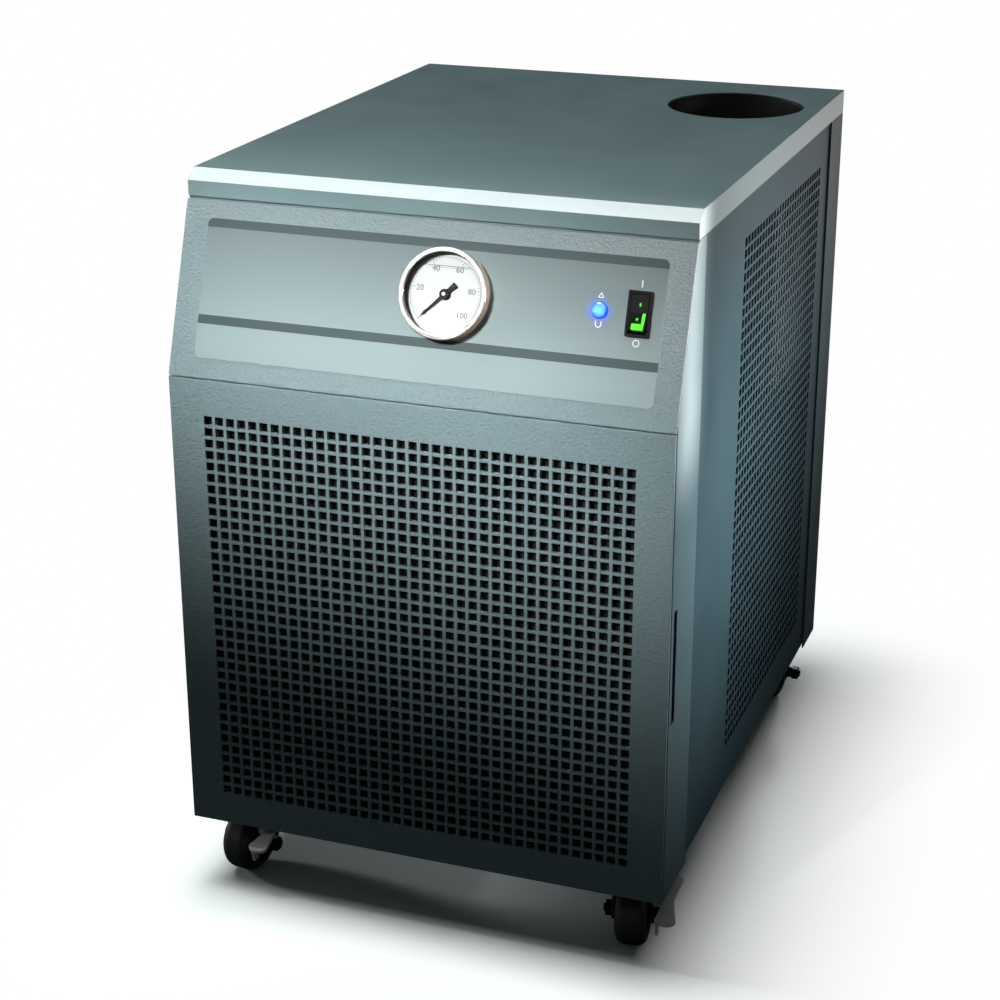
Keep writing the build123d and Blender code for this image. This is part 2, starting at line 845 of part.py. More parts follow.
# Rocker switch: a snap-in housing with an open well, and the rocker on its pin
well_width = switch_width - 2 * switch_rim
well_height = switch_height - 2 * switch_rim
switch_centre = (switch_x, switch_up)
rocker_half = well_height / 2 - rocker_end_play
rocker_width = well_width - 2 * rocker_play
rocker_along = slope_plane.y_dir * cos(radians(rocker_tilt)) - slope_plane.z_dir * sin(radians(rocker_tilt))
rocker_plane = Plane(
    origin=(
        slope_plane.origin
        + slope_plane.x_dir * switch_x
        + slope_plane.y_dir * switch_up
        + slope_plane.z_dir * (overlay_skin - rocker_pivot)
    ),
    x_dir=rocker_along,
    z_dir=slope_plane.x_dir,
)
with BuildPart() as switch_housing:
    with BuildSketch(slope_level(overlay_skin)):
        with Locations(switch_centre):
            RectangleRounded(switch_width, switch_height, switch_rim / 2)
    extrude(amount=switch_stand)
    with BuildSketch(slope_level(overlay_skin)):
        with Locations(switch_centre):
            Rectangle(switch_body_width, switch_body_height)
    extrude(amount=-switch_body_depth)
    with BuildSketch(slope_level(overlay_skin + switch_stand)):
        with Locations(switch_centre):
            Rectangle(well_width, well_height)
    extrude(amount=-switch_stand - switch_body_depth / 2, mode=Mode.SUBTRACT)
    with BuildSketch(rocker_plane):
        Circle(rocker_pin + running)
    extrude(amount=switch_body_width / 2, both=True, mode=Mode.SUBTRACT)
save(switch_housing.part, "switch_housing")

with BuildPart() as switch_rocker:
    with BuildSketch(rocker_plane):
        with BuildLine():
            Polyline(
                (-rocker_half, -rocker_root / 2),
                (-rocker_half, rocker_pivot + rocker_rise),
                (0, rocker_pivot + rocker_rise / 2),
                (rocker_half, rocker_pivot + rocker_rise),
                (rocker_half, -rocker_root / 2),
                (0, -rocker_root),
                close=True,
            )
        make_face()
    extrude(amount=rocker_width / 2, both=True)
    with BuildSketch(rocker_plane):
        Circle(rocker_pin)
    extrude(amount=switch_body_width / 2, both=True)
save(switch_rocker.part, "switch_rocker")

# Air side: foam filter, finned condenser with its pipes, shroud, fan and motor
filter_y = frame_y + sheet + seam
core_y = filter_y + filter_thickness + rest_gap
core_base = skirt_z + core_low
core_mid = core_base + core_height / 2
filter_low = pan_z + pan_lip + rest_gap
filter_high = crease_z - crease_rail + filter_lap
with BuildPart() as air_filter:
    with BuildSketch(Plane.XZ.offset(-filter_y)):
        with Locations((0, (filter_low + filter_high) / 2)):
            Rectangle(core_width + 4 * filter_lap, filter_high - filter_low)
    extrude(amount=-filter_thickness)
save(air_filter.part, "air_filter")

core_side = core_width / 2
with BuildPart() as condenser:
    with BuildSketch(Plane.XY.offset(core_base)):
        with Locations((0, core_y + core_thickness / 2)):
            Rectangle(core_width, core_thickness)
    extrude(amount=core_height)
    with BuildSketch(Plane.XY.offset(core_base)):
        with Locations((0, core_y), (0, core_y + core_thickness)):
            with GridLocations(core_width / core_fins, 1, core_fins, 1):
                Rectangle(core_fin_slot, 2 * core_fin_cut)
    extrude(amount=core_height, mode=Mode.SUBTRACT)
    with BuildSketch(Plane.XY.offset(floor_z)):
        for side in (-1, 1):
            with Locations((side * (core_side + sheet / 2), core_y + core_thickness / 2)):
                Rectangle(sheet, core_thickness)
    extrude(amount=core_base + core_height - floor_z)
with BuildPart() as manifolds:
    manifold_y = core_y + core_thickness / 2
    with BuildSketch(Plane.XY.offset(liquid_line_z - line_bend)):
        with Locations((drier_x, manifold_y), (-drier_x, manifold_y)):
            Circle(manifold_radius)
    extrude(amount=discharge_line_z - liquid_line_z + 2 * line_bend)
condenser_pieces = Compound(children=[*condenser.part.solids(), *manifolds.part.solids()])
save(condenser_pieces, "condenser")

shroud_y = core_y + core_thickness + rest_gap
shroud_back = shroud_y + shroud_depth
fan_opening = fan_radius + fan_tip_gap
with BuildPart() as fan_shroud:
    with BuildSketch(Plane.XZ.offset(-shroud_y)):
        with Locations((0, core_mid)):
            Rectangle(core_width, core_height)
            Rectangle(core_width - 2 * sheet, core_height - 2 * sheet, mode=Mode.SUBTRACT)
    extrude(amount=-shroud_depth)
    with BuildSketch(Plane.XZ.offset(-shroud_back)):
        with Locations((0, core_mid)):
            Rectangle(core_width, core_height)
            Circle(fan_opening, mode=Mode.SUBTRACT)
    extrude(amount=sheet)
    with BuildSketch(Plane.XZ.offset(-shroud_back)):
        with Locations((0, core_mid)):
            Circle(fan_opening + sheet)
            Circle(fan_opening, mode=Mode.SUBTRACT)
    extrude(amount=fan_hub_length / 2)
    with BuildSketch(Plane.XZ.offset(-shroud_back)):
        with Locations((0, core_mid)):
            Rectangle(core_width, spider_bar)
            Rectangle(spider_bar, core_height)
            Circle(spider_ring)
            Circle(motor_shaft_radius + spider_skin, mode=Mode.SUBTRACT)
    extrude(amount=-spider_skin)
save(fan_shroud.part, "fan_shroud")

motor_y = shroud_back + spider_skin + rest_gap
fan_y = shroud_back - rest_gap - seam
with BuildPart() as fan_motor:
    with BuildSketch(Plane.XZ.offset(-motor_y)):
        with Locations((0, core_mid)):
            Circle(motor_radius)
    extrude(amount=-motor_length)
    fillet(fan_motor.edges(), radius=motor_shaft_radius)
    with BuildSketch(Plane.XZ.offset(-motor_y)):
        with Locations((0, core_mid)):
            Circle(motor_shaft_radius)
    extrude(amount=motor_y - fan_y + fan_hub_length - 2 * spider_skin)
save(fan_motor.part, "fan_motor")

blade_middle = fan_y - fan_hub_length / 2
blade_tip_reach = (fan_radius**2 - (blade_tip_chord / 2) ** 2) ** 0.5
with BuildPart() as fan_piece:
    with BuildSketch(Plane.XZ.offset(-fan_y)):
        with Locations((0, core_mid)):
            Circle(fan_hub_radius)
    extrude(amount=fan_hub_length)
    fillet(fan_piece.edges().group_by(Axis.Y)[0], radius=motor_shaft_radius)
    with BuildSketch(Plane.XZ.offset(-fan_y)):
        with Locations((0, core_mid)):
            Circle(motor_shaft_radius + running)
    extrude(amount=fan_hub_length - spider_skin, mode=Mode.SUBTRACT)
    for blade in range(fan_blade_count):
        turn = 360 * blade / fan_blade_count
        outward = Vector(cos(radians(turn)), 0, sin(radians(turn)))
        centre = Vector(0, blade_middle, core_mid)
        for reach, chord, pitch in (
            (fan_hub_radius - spider_skin, blade_root_chord, blade_root_pitch),
            (blade_tip_reach, blade_tip_chord, blade_tip_pitch),
        ):
            around = Vector(-sin(radians(turn)), 0, cos(radians(turn)))
            chord_way = around * cos(radians(pitch)) + Vector(0, 1, 0) * sin(radians(pitch))
            with BuildSketch(Plane(origin=centre + outward * reach, x_dir=chord_way, z_dir=outward)):
                Rectangle(chord, blade_skin)
        loft()
save(fan_piece.part, "fan")

# Compressor on four grommets, and the pump with its motor
compressor_y = front_y + compressor_depth
foot_z = floor_z + grommet_height
shell_z = foot_z + compressor_foot
with BuildPart() as compressor_grommets:
    with BuildSketch(Plane.XY.offset(floor_z)):
        with Locations((compressor_x, compressor_y)):
            with GridLocations(grommet_spacing, grommet_spacing, 2, 2):
                Circle(grommet_radius)
    extrude(amount=grommet_height)
save(compressor_grommets.part, "compressor_grommets")

with BuildPart() as compressor:
    with BuildSketch(Plane.XY.offset(foot_z)):
        with Locations((compressor_x, compressor_y)):
            RectangleRounded(
                grommet_spacing + 2 * grommet_radius, grommet_spacing + 2 * grommet_radius, grommet_radius
            )
    extrude(amount=compressor_foot)
    with BuildSketch(Plane.XZ.offset(-compressor_y)):
        with BuildLine():
            Polyline(
                (compressor_x, shell_z),
                (compressor_x + compressor_radius, shell_z),
                (compressor_x + compressor_radius, shell_z + compressor_dome + compressor_body),
            )
            EllipticalCenterArc(
                (compressor_x, shell_z + compressor_dome + compressor_body),
                compressor_radius,
                compressor_dome,
                start_angle=0,
                arc_size=90,
            )
            Line((compressor_x, shell_z + 2 * compressor_dome + compressor_body), (compressor_x, shell_z))
        make_face()
    revolve(axis=Axis((compressor_x, compressor_y, 0), (0, 0, 1)))
    with BuildSketch(Plane.XY.offset(shell_z + compressor_dome)):
        with Locations((compressor_x, compressor_y - compressor_radius)):
            RectangleRounded(terminal_box, terminal_box, motor_shaft_radius)
    extrude(amount=2 * terminal_box)
    shell_top = shell_z + 2 * compressor_dome + compressor_body
    with BuildSketch(Plane.XY.offset(shell_top - compressor_dome / 2)):
        with Locations((compressor_x, compressor_y)):
            Circle(line_radius + sheet)
    extrude(amount=compressor_dome / 2 + sheet)
save(compressor.part, "compressor")

pump_z = floor_z + pump_axis_rise
head_y = front_y + pump_head_front
pump_motor_y = head_y + pump_head_length
with BuildPart() as pump_head:
    with BuildSketch(Plane.XZ.offset(-head_y)):
        with Locations((pump_x, pump_z)):
            Circle(pump_head_radius)
    extrude(amount=-pump_head_length)
    fillet(pump_head.edges().group_by(Axis.Y)[0], radius=motor_shaft_radius)
    with BuildSketch(Plane.XY.offset(pump_z)):
        with Locations((pump_x, head_y + pump_head_length / 2)):
            Circle(hose_radius + well_wall)
    extrude(amount=pump_head_radius + well_wall)
save(pump_head.part, "pump_head")

with BuildPart() as pump_motor:
    with BuildSketch(Plane.XZ.offset(-pump_motor_y)):
        with Locations((pump_x, pump_z)):
            Circle(pump_motor_radius)
    extrude(amount=-pump_motor_length)
    fillet(pump_motor.edges().group_by(Axis.Y)[-1], radius=pump_foot_width / 9)
    with BuildSketch(Plane.XY.offset(floor_z)):
        with Locations((pump_x, pump_motor_y + pump_motor_length / 2)):
            Rectangle(pump_foot_width, pump_foot_length)
    extrude(amount=compressor_foot)
    with BuildSketch(Plane.XY.offset(floor_z)):
        with Locations((pump_x, pump_motor_y + pump_motor_length / 2)):
            Rectangle(pump_foot_width / 2, pump_foot_length)
    extrude(amount=pump_axis_rise - pump_motor_radius / 2)
save(pump_motor.part, "pump_motor")

# Cold side: brazed plate exchanger, filter drier and the control box
exchanger_y = front_y + exchanger_depth
with BuildPart() as plate_exchanger:
    with BuildSketch(Plane.XY.offset(shelf_top)):
        with Locations((exchanger_x, exchanger_y)):
            RectangleRounded(exchanger_width, exchanger_thickness, exchanger_thickness / 8)
    extrude(amount=exchanger_height)
    plate_pitch = exchanger_thickness / exchanger_plates
    with BuildSketch(Plane.XY.offset(shelf_top)):
        for side in (-1, 1):
            with Locations((exchanger_x + side * exchanger_width / 2, exchanger_y)):
                with GridLocations(1, 2 * plate_pitch, 1, exchanger_plates // 2 - 1):
                    Rectangle(2 * sheet, plate_pitch / 2)
    extrude(amount=exchanger_height, mode=Mode.SUBTRACT)
save(plate_exchanger.part, "plate_exchanger")

drier_y = front_y + drier_front
with BuildPart() as filter_drier:
    with BuildSketch(Plane.XY.offset(liquid_line_z)):
        with BuildLine():
            Polyline(
                (drier_x, drier_y),
                (drier_x + line_radius + sheet, drier_y),
                (drier_x + drier_radius, drier_y + drier_radius),
                (drier_x + drier_radius, drier_y + drier_length - drier_radius),
                (drier_x + line_radius + sheet, drier_y + drier_length),
                (drier_x, drier_y + drier_length),
                close=True,
            )
        make_face()
    revolve(axis=Axis((drier_x, 0, liquid_line_z), (0, 1, 0)))
save(filter_drier.part, "filter_drier")

box_y = front_y + control_box_depth
with BuildPart() as control_box:
    with BuildSketch(Plane.XY.offset(shelf_top)):
        with Locations((control_box_x, box_y)):
            RectangleRounded(control_box_width, control_box_length, control_box_lid)
    extrude(amount=control_box_height - control_box_lid)
    with BuildSketch(Plane.XY.offset(shelf_top + control_box_height - control_box_lid)):
        with Locations((control_box_x, box_y)):
            RectangleRounded(
                control_box_width + control_box_lid, control_box_length + control_box_lid, control_box_lid
            )
    extrude(amount=control_box_lid)
save(control_box.part, "control_box")

# Copper lines and coolant hoses; each stops just short of the fitting it serves
line_start = manifold_y + manifold_radius + rest_gap
port_inner = rear_y - sheet - port_tail - rest_gap
exchanger_front = exchanger_y - exchanger_thickness / 2 - rest_gap
exchanger_back = exchanger_y + exchanger_thickness / 2 + rest_gap
lower_port = shelf_top + exchanger_height / 6
upper_port = shelf_top + exchanger_height / 2
shell_reach = (compressor_radius**2 - (compressor_y - suction_y - line_radius) ** 2) ** 0.5
copper_paths = [
    [
        (compressor_x, compressor_y, shell_top + sheet + rest_gap),
        (compressor_x, compressor_y, discharge_line_z),
        (-drier_x, compressor_y, discharge_line_z),
        (-drier_x, line_start, discharge_line_z),
    ],
    [
        (drier_x, drier_y + drier_length + rest_gap, liquid_line_z),
        (drier_x, liquid_riser_y, liquid_line_z),
        (drier_x, liquid_riser_y, lower_port),
        (drier_x, exchanger_y, lower_port),
        (exchanger_x - exchanger_width / 2 - rest_gap, exchanger_y, lower_port),
    ],
    [
        (suction_x, exchanger_front, lower_port),
        (suction_x, suction_y, lower_port),
        (suction_x, suction_y, suction_z),
        (compressor_x - shell_reach - rest_gap, suction_y, suction_z),
    ],
]
copper_lines = [pipe(points, line_radius, line_bend) for points in copper_paths]
with BuildPart() as drier_inlet:
    with BuildSketch(Plane.XZ.offset(-line_start)):
        with Locations((drier_x, liquid_line_z)):
            Circle(line_radius)
    extrude(amount=line_start - drier_y + rest_gap)
refrigerant_lines = Compound(children=[*copper_lines, drier_inlet.part])
save(refrigerant_lines, "refrigerant_lines")

hose_paths = [
    [
        (tank_outlet_x, outlet_y, shelf_top - rest_gap),
        (tank_outlet_x, outlet_y, under_shelf_z),
        (pump_feed_x, outlet_y, under_shelf_z),
        (pump_feed_x, front_y + pump_feed_depth, under_shelf_z),
        (pump_feed_x, front_y + pump_feed_depth, pump_z),
        (pump_x, front_y + pump_feed_depth, pump_z),
        (pump_x, head_y - rest_gap, pump_z),
    ],
    [
        (pump_x, pump_head_y, pump_z + pump_head_radius + well_wall + rest_gap),
        (pump_x, pump_head_y, upper_port + 2 * hose_bend),
        (exchanger_x - exchanger_width / 4, pump_head_y, upper_port + 2 * hose_bend),
        (exchanger_x - exchanger_width / 4, exchanger_front, upper_port + 2 * hose_bend),
    ],
    [
        (supply_x, exchanger_back, lower_port),
        (supply_x, riser_y, lower_port),
        (supply_x, riser_y, port_z),
        (supply_x, port_inner, port_z),
    ],
    [
        (return_x, port_inner, port_z),
        (return_x, riser_y, port_z),
        (return_x, riser_y, upper_port),
        (tank_x - tank_width / 2 - rest_gap, riser_y, upper_port),
    ],
]
coolant_hoses = Compound(children=[pipe(points, hose_radius, hose_bend) for points in hose_paths])
save(coolant_hoses, "coolant_hoses")

# Rear connections: two coolant ports, the drain plug, the power inlet and the screws


def make_port(x, z, bore):
    """Make one threaded port with its hexagon, bored unless bore is nothing."""
    with BuildPart() as port:
        with BuildSketch(Plane.XZ.offset(-rear_y + sheet + port_tail)):
            with Locations((x, z)):
                Circle(port_radius)
        extrude(amount=-port_tail - sheet - port_hex_length)
        with BuildSketch(Plane.XZ.offset(-rear_y)):
            with Locations((x, z)):
                RegularPolygon(port_hex_across / 2, 6, major_radius=False)
        extrude(amount=-port_hex_length)
        if bore:
            with BuildSketch(Plane.XZ.offset(-rear_y)):
                with Locations((x, z)):
                    Circle(port_radius)
            extrude(amount=-port_reach)
            with BuildSketch(Plane.XZ.offset(-rear_y - port_reach)):
                with Locations((x, z)):
                    Circle(bore)
            extrude(amount=port_reach + sheet + port_tail, mode=Mode.SUBTRACT)
    return port.part


save(make_port(supply_x, port_z, port_bore), "supply_port")
save(make_port(return_x, port_z, port_bore), "return_port")
save(make_port(drain_x, drain_z, None), "drain_plug")

with BuildPart() as power_inlet:
    with BuildSketch(Plane.XZ.offset(-rear_y)):
        with Locations((inlet_x, inlet_z)):
            RectangleRounded(inlet_width, inlet_tall, inlet_flange)
    extrude(amount=-inlet_flange)
    with BuildSketch(Plane.XZ.offset(-rear_y)):
        with Locations((inlet_x, inlet_z)):
            Rectangle(inlet_width - inlet_body_inset - 2 * rest_gap, inlet_tall - 2 * inlet_flange)
    extrude(amount=inlet_body_depth)
    with BuildSketch(Plane.XZ.offset(-rear_y - inlet_flange)):
        with Locations((inlet_x, inlet_z)):
            RectangleRounded(inlet_recess_width, inlet_recess_tall, inlet_flange)
    extrude(amount=inlet_recess_depth, mode=Mode.SUBTRACT)
    with BuildSketch(Plane.XZ.offset(-rear_y - inlet_flange + inlet_recess_depth)):
        for across, rise in ((-1, 0), (0, 1), (1, 0)):
            with Locations((inlet_x + across * inlet_pin_spacing, inlet_z + rise * inlet_pin_width)):
                Rectangle(inlet_pin_skin, inlet_pin_width)
    extrude(amount=-inlet_pin_length)
save(power_inlet.part, "power_inlet")

with BuildPart() as rear_screws:
    with BuildSketch(Plane.XZ.offset(-rear_y)):
        with Locations((0, (skirt_z + lip_z) / 2)):
            with GridLocations(case_width - rear_wrap / 2, (lip_z - skirt_z) / 3, 2, 3):
                Circle(screw_radius)
    extrude(amount=-screw_head)
save(rear_screws.part, "rear_screws")

# Casters: each piece is made once about a swivel axis at the origin, then placed
axle_plane = Plane(origin=(0, -trail, wheel_radius), x_dir=(0, 1, 0), z_dir=(1, 0, 0))
leg_inside = wheel_width / 2 + fork_play
leg_outside = leg_inside + fork_sheet
crown_top = fork_crown_z + fork_sheet
pedal_y = -trail - pedal_forward
pedal_z = wheel_radius + pedal_rise
with BuildPart() as wheel:
    with BuildSketch(axle_plane):
        Circle(wheel_radius)
    extrude(amount=wheel_width / 2, both=True)
    fillet(wheel.edges().filter_by(GeomType.CIRCLE), radius=wheel_shoulder)
    for side in (-1, 1):
        with BuildSketch(axle_plane.offset(side * wheel_width / 2)):
            Circle(wheel_radius - wheel_rim_wall - wheel_dish)
            Circle(hub_radius, mode=Mode.SUBTRACT)
        extrude(amount=-side * wheel_dish, mode=Mode.SUBTRACT)
    with BuildSketch(axle_plane):
        Circle(axle_radius + running)
    extrude(amount=wheel_width, both=True, mode=Mode.SUBTRACT)


def make_fork(braked):
    """Make one fork with two legs; a braked one carries the pedal's ear and pin."""
    with BuildPart() as fork:
        with BuildSketch(Plane.XY.offset(fork_crown_z)):
            Circle(fork_crown_radius)
        extrude(amount=fork_sheet)
        for side in (-1, 1):
            with BuildSketch(Plane.YZ.offset(side * leg_inside)):
                Polygon(
                    (-trail - fork_foot_radius, wheel_radius),
                    (-fork_neck, crown_top),
                    (fork_neck, crown_top),
                    (-trail + fork_foot_radius, wheel_radius),
                    align=None,
                )
                with Locations((-trail, wheel_radius)):
                    Circle(fork_foot_radius)
                if braked and side > 0:
                    with Locations((pedal_y, pedal_z)):
                        Circle(pedal_barrel_radius)
                    Polygon(
                        (pedal_y, pedal_z - pedal_barrel_radius),
                        (-trail, pedal_z - pedal_barrel_radius),
                        (-trail, pedal_z + pedal_barrel_radius),
                        (pedal_y, pedal_z + pedal_barrel_radius),
                        align=None,
                    )
            extrude(amount=side * fork_sheet)
        with BuildSketch(axle_plane):
            Circle(axle_radius + running)
        extrude(amount=2 * leg_outside, both=True, mode=Mode.SUBTRACT)
        with BuildSketch(Plane.XY.offset(fork_crown_z)):
            Circle(king_pin_radius + running)
        extrude(amount=fork_sheet, mode=Mode.SUBTRACT)
        if braked:
            with BuildSketch(Plane.YZ.offset(leg_outside)):
                with Locations((pedal_y, pedal_z)):
                    Circle(pedal_pin_radius)
            extrude(amount=pedal_out + pedal_waist / 2 - leg_outside)
    return fork.part


with BuildPart() as axle_bolt:
    with BuildSketch(Plane.YZ.offset(-leg_outside - nut_length - bolt_end)):
        with Locations((0, wheel_radius)):
            Circle(axle_radius)
    extrude(amount=2 * leg_outside + axle_collar_length + 2 * nut_length + 2 * bolt_end)
    with BuildSketch(Plane.YZ.offset(leg_outside)):
        with Locations((0, wheel_radius)):
            Circle(axle_collar_radius)
    extrude(amount=axle_collar_length)
    with BuildSketch(Plane.YZ.offset(leg_outside + axle_collar_length)):
        with Locations((0, wheel_radius)):
            RegularPolygon(nut_across / 2, 6, major_radius=False)
    extrude(amount=nut_length)
    with BuildSketch(Plane.YZ.offset(-leg_outside)):
        with Locations((0, wheel_radius)):
            RegularPolygon(nut_across / 2, 6, major_radius=False)
    extrude(amount=-nut_length)

with BuildPart() as plate_set:
    with BuildSketch(Plane.XY.offset(pan_z - plate_sheet)):
        Rectangle(plate_side, plate_side)
    extrude(amount=plate_sheet)
    with BuildSketch(Plane.XY.offset(crown_top + rest_gap)):
        Circle(race_radius)
    extrude(amount=pan_z - plate_sheet - crown_top - rest_gap)
    with BuildSketch(Plane.XY.offset(pan_z - plate_sheet)):
        with GridLocations(plate_bolt_spacing, plate_bolt_spacing, 2, 2):
            RegularPolygon(plate_bolt_across / 2, 6, major_radius=False)
    extrude(amount=-plate_bolt_head)
    with BuildSketch(Plane.XY.offset(crown_top + rest_gap)):
        Circle(king_pin_radius)
    extrude(amount=-fork_sheet - 2 * rest_gap)
    with BuildSketch(Plane.XY.offset(fork_crown_z - rest_gap)):
        Circle(king_pin_head_radius)
    extrude(amount=-king_pin_head)

# The pedal is a flat bow tie on a barrel, tilted so that its front lobe is the lower one
pedal_frame = Plane(
    origin=(pedal_out, pedal_y, pedal_z),
    x_dir=(0, cos(radians(pedal_tilt)), sin(radians(pedal_tilt))),
    z_dir=(0, -sin(radians(pedal_tilt)), cos(radians(pedal_tilt))),
)
pedal_end = pedal_half_length - pedal_width / 3
with BuildPart() as pedal:
    with BuildSketch(pedal_frame.offset(pedal_barrel_radius - pedal_sheet)):
        for side in (-1, 1):
            Polygon(
                (0, -pedal_waist / 2),
                (side * pedal_end, -pedal_width / 2),
                (side * pedal_end, pedal_width / 2),
                (0, pedal_waist / 2),
                align=None,
            )
            with Locations((side * pedal_end, 0)):
                Ellipse(pedal_width / 3, pedal_width / 2)
    extrude(amount=pedal_sheet)
    with BuildSketch(Plane.YZ.offset(leg_outside + rest_gap)):
        with Locations((pedal_y, pedal_z)):
            Circle(pedal_barrel_radius)
    extrude(amount=pedal_out + pedal_waist / 2 - leg_outside - rest_gap)
    with BuildSketch(pedal_frame.offset(pedal_barrel_radius - pedal_sheet)):
        with Locations((-pedal_end + pedal_finger_width / 2, pedal_width / 2 - pedal_finger_sheet / 2)):
            Rectangle(pedal_finger_width, pedal_finger_sheet)
    extrude(amount=-pedal_finger)
    with BuildSketch(Plane.YZ.offset(leg_outside)):
        with Locations((pedal_y, pedal_z)):
            Circle(pedal_pin_radius + running)
    extrude(amount=pedal_out, mode=Mode.SUBTRACT)

front_axis_y = front_y + caster_front_inset
rear_axis_y = front_y + case_depth - caster_rear_inset
corners = {
    "front_left": (-caster_x, front_axis_y, -front_swing, True),
    "front_right": (caster_x, front_axis_y, front_swing, True),
    "rear_left": (-caster_x, rear_axis_y, facing_back + rear_swing, False),
    "rear_right": (caster_x, rear_axis_y, facing_back - rear_swing, False),
}
plates = []
for corner, (axis_x, axis_y, swing, braked) in corners.items():
    place = Location((axis_x, axis_y, 0), (0, 0, swing))
    plates.append(plate_set.part.moved(Location((axis_x, axis_y, 0))))
    save(make_fork(braked).moved(place), f"fork_{corner}")
    save(wheel.part.moved(place), f"wheel_{corner}")
    hub_x = axis_x + trail * sin(radians(swing))
    hub_y = axis_y - trail * cos(radians(swing))
    bolt_swing = swing if braked else swing - facing_back
    save(axle_bolt.part.moved(Location((hub_x, hub_y, 0), (0, 0, bolt_swing))), f"axle_bolt_{corner}")
    if braked:
        save(pedal.part.moved(place), f"brake_pedal_{corner}")
save(Compound(children=plates), "caster_plates")
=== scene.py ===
import math

import bmesh
import bpy
from mathutils import Matrix, Vector


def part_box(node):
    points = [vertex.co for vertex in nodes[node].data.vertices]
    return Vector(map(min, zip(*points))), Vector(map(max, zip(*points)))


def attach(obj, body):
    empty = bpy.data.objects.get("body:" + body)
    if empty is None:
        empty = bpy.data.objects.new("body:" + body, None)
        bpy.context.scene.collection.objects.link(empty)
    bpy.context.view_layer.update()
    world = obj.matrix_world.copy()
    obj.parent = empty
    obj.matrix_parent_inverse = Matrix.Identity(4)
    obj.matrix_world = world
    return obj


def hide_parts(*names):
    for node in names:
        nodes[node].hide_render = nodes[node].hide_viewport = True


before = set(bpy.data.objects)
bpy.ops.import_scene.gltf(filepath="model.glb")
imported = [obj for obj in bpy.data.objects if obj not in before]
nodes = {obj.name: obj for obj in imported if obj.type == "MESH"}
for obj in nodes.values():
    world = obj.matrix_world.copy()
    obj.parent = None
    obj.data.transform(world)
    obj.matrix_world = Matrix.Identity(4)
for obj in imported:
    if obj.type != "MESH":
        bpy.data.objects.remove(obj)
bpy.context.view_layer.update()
print("frame loaded:", len(nodes), "nodes")

# Sizes shared by several pieces, in metres, as the solids have them
cabinet = {
    "halfWidth": 0.184,
    "frontY": -0.2595,
    "skirtZ": 0.055,
    "creaseZ": 0.406,
    "slopeRise": 0.1167,
    "slopeRun": 0.0417,
    "holePitch": 0.0086,
    "holeSide": 0.0062,
}
# Middles of the controls on the sloped face: across from its middle and up from the crease
controls = {"gaugeX": 0.016, "gaugeUp": 0.075, "lampX": 0.1234, "lampUp": 0.0748, "switchX": 0.1504}
slopeAngle = math.atan2(cabinet["slopeRun"], cabinet["slopeRise"])
# The sloped face's own frame: x to the viewer's right, y up the slope, z outwards
slopePlace = Matrix.Translation((0, cabinet["frontY"], cabinet["creaseZ"])) @ Matrix.Rotation(
    math.radians(90) - slopeAngle, 4, "X"
)


def toLinear(hexColour):
    channels = [int(hexColour[i : i + 2], 16) / 255 for i in (1, 3, 5)]
    return [c / 12.92 if c <= 0.04045 else ((c + 0.055) / 1.055) ** 2.4 for c in channels] + [1.0]


def addNode(tree, kind, values=None, links=None):
    node = tree.nodes.new(kind)
    for key, value in (values or {}).items():
        if isinstance(key, int) or key in node.inputs:
            node.inputs[key].default_value = value
        else:
            setattr(node, key, value)
    for key, socket in (links or {}).items():
        tree.links.new(socket, node.inputs[key])
    return node


# One step of arithmetic whose terms are numbers, vectors or other nodes' outputs
def calculated(tree, kind, operation, terms):
    node = addNode(tree, kind, {"operation": operation})
    for socket, term in zip(node.inputs, terms):
        if isinstance(term, bpy.types.NodeSocket):
            tree.links.new(term, socket)
        else:
            socket.default_value = term
    return node


def maths(tree, operation, *terms):
    return calculated(tree, "ShaderNodeMath", operation, terms).outputs["Value"]


def vectorMaths(tree, operation, *terms):
    output = "Value" if operation in ("DISTANCE", "DOT_PRODUCT", "LENGTH") else "Vector"
    return calculated(tree, "ShaderNodeVectorMath", operation, terms).outputs[output]


def largest(tree, factors):
    result = factors[0]
    for factor in factors[1:]:
        result = maths(tree, "MAXIMUM", result, factor)
    return result


def mapped(tree, value, fromRange=(0.0, 1.0), toRange=(0.0, 1.0), interpolation="LINEAR"):
    ends = dict(zip(("From Min", "From Max", "To Min", "To Max"), (*fromRange, *toRange)))
    return addNode(
        tree, "ShaderNodeMapRange", {"interpolation_type": interpolation, **ends}, {"Value": value}
    ).outputs["Result"]


def twoTone(tree, factor, colours, stops=(0.0, 1.0)):
    ramp = addNode(tree, "ShaderNodeValToRGB", links={"Fac": factor})
    for element, colour, stop in zip(ramp.color_ramp.elements, colours, stops):
        element.color = toLinear(colour)
        element.position = stop
    return ramp.outputs["Color"]


# Blends two colours, each one either a constant or another node's output
def blended(tree, factor, first, second):
    values, links = {"data_type": "RGBA"}, {0: factor}
    for index, colour in ((6, first), (7, second)):
        if isinstance(colour, bpy.types.NodeSocket):
            links[index] = colour
        else:
            values[index] = colour
    return addNode(tree, "ShaderNodeMix", values, links).outputs[2]


def noise(tree, place, widthMm, detail=2.0, roughness=0.5):
    values = {"Scale": 1000 / widthMm, "Detail": detail, "Roughness": roughness}
    return addNode(tree, "ShaderNodeTexNoise", values, {"Vector": place}).outputs["Fac"]


def bumpShader(tree, shader, height, strength, distance, normal=None):
    bump = addNode(tree, "ShaderNodeBump", {"Strength": strength, "Distance": distance}, {"Height": height})
    if normal is not None:
        tree.links.new(normal, bump.inputs["Normal"])
    tree.links.new(bump.outputs["Normal"], shader.inputs["Normal"])


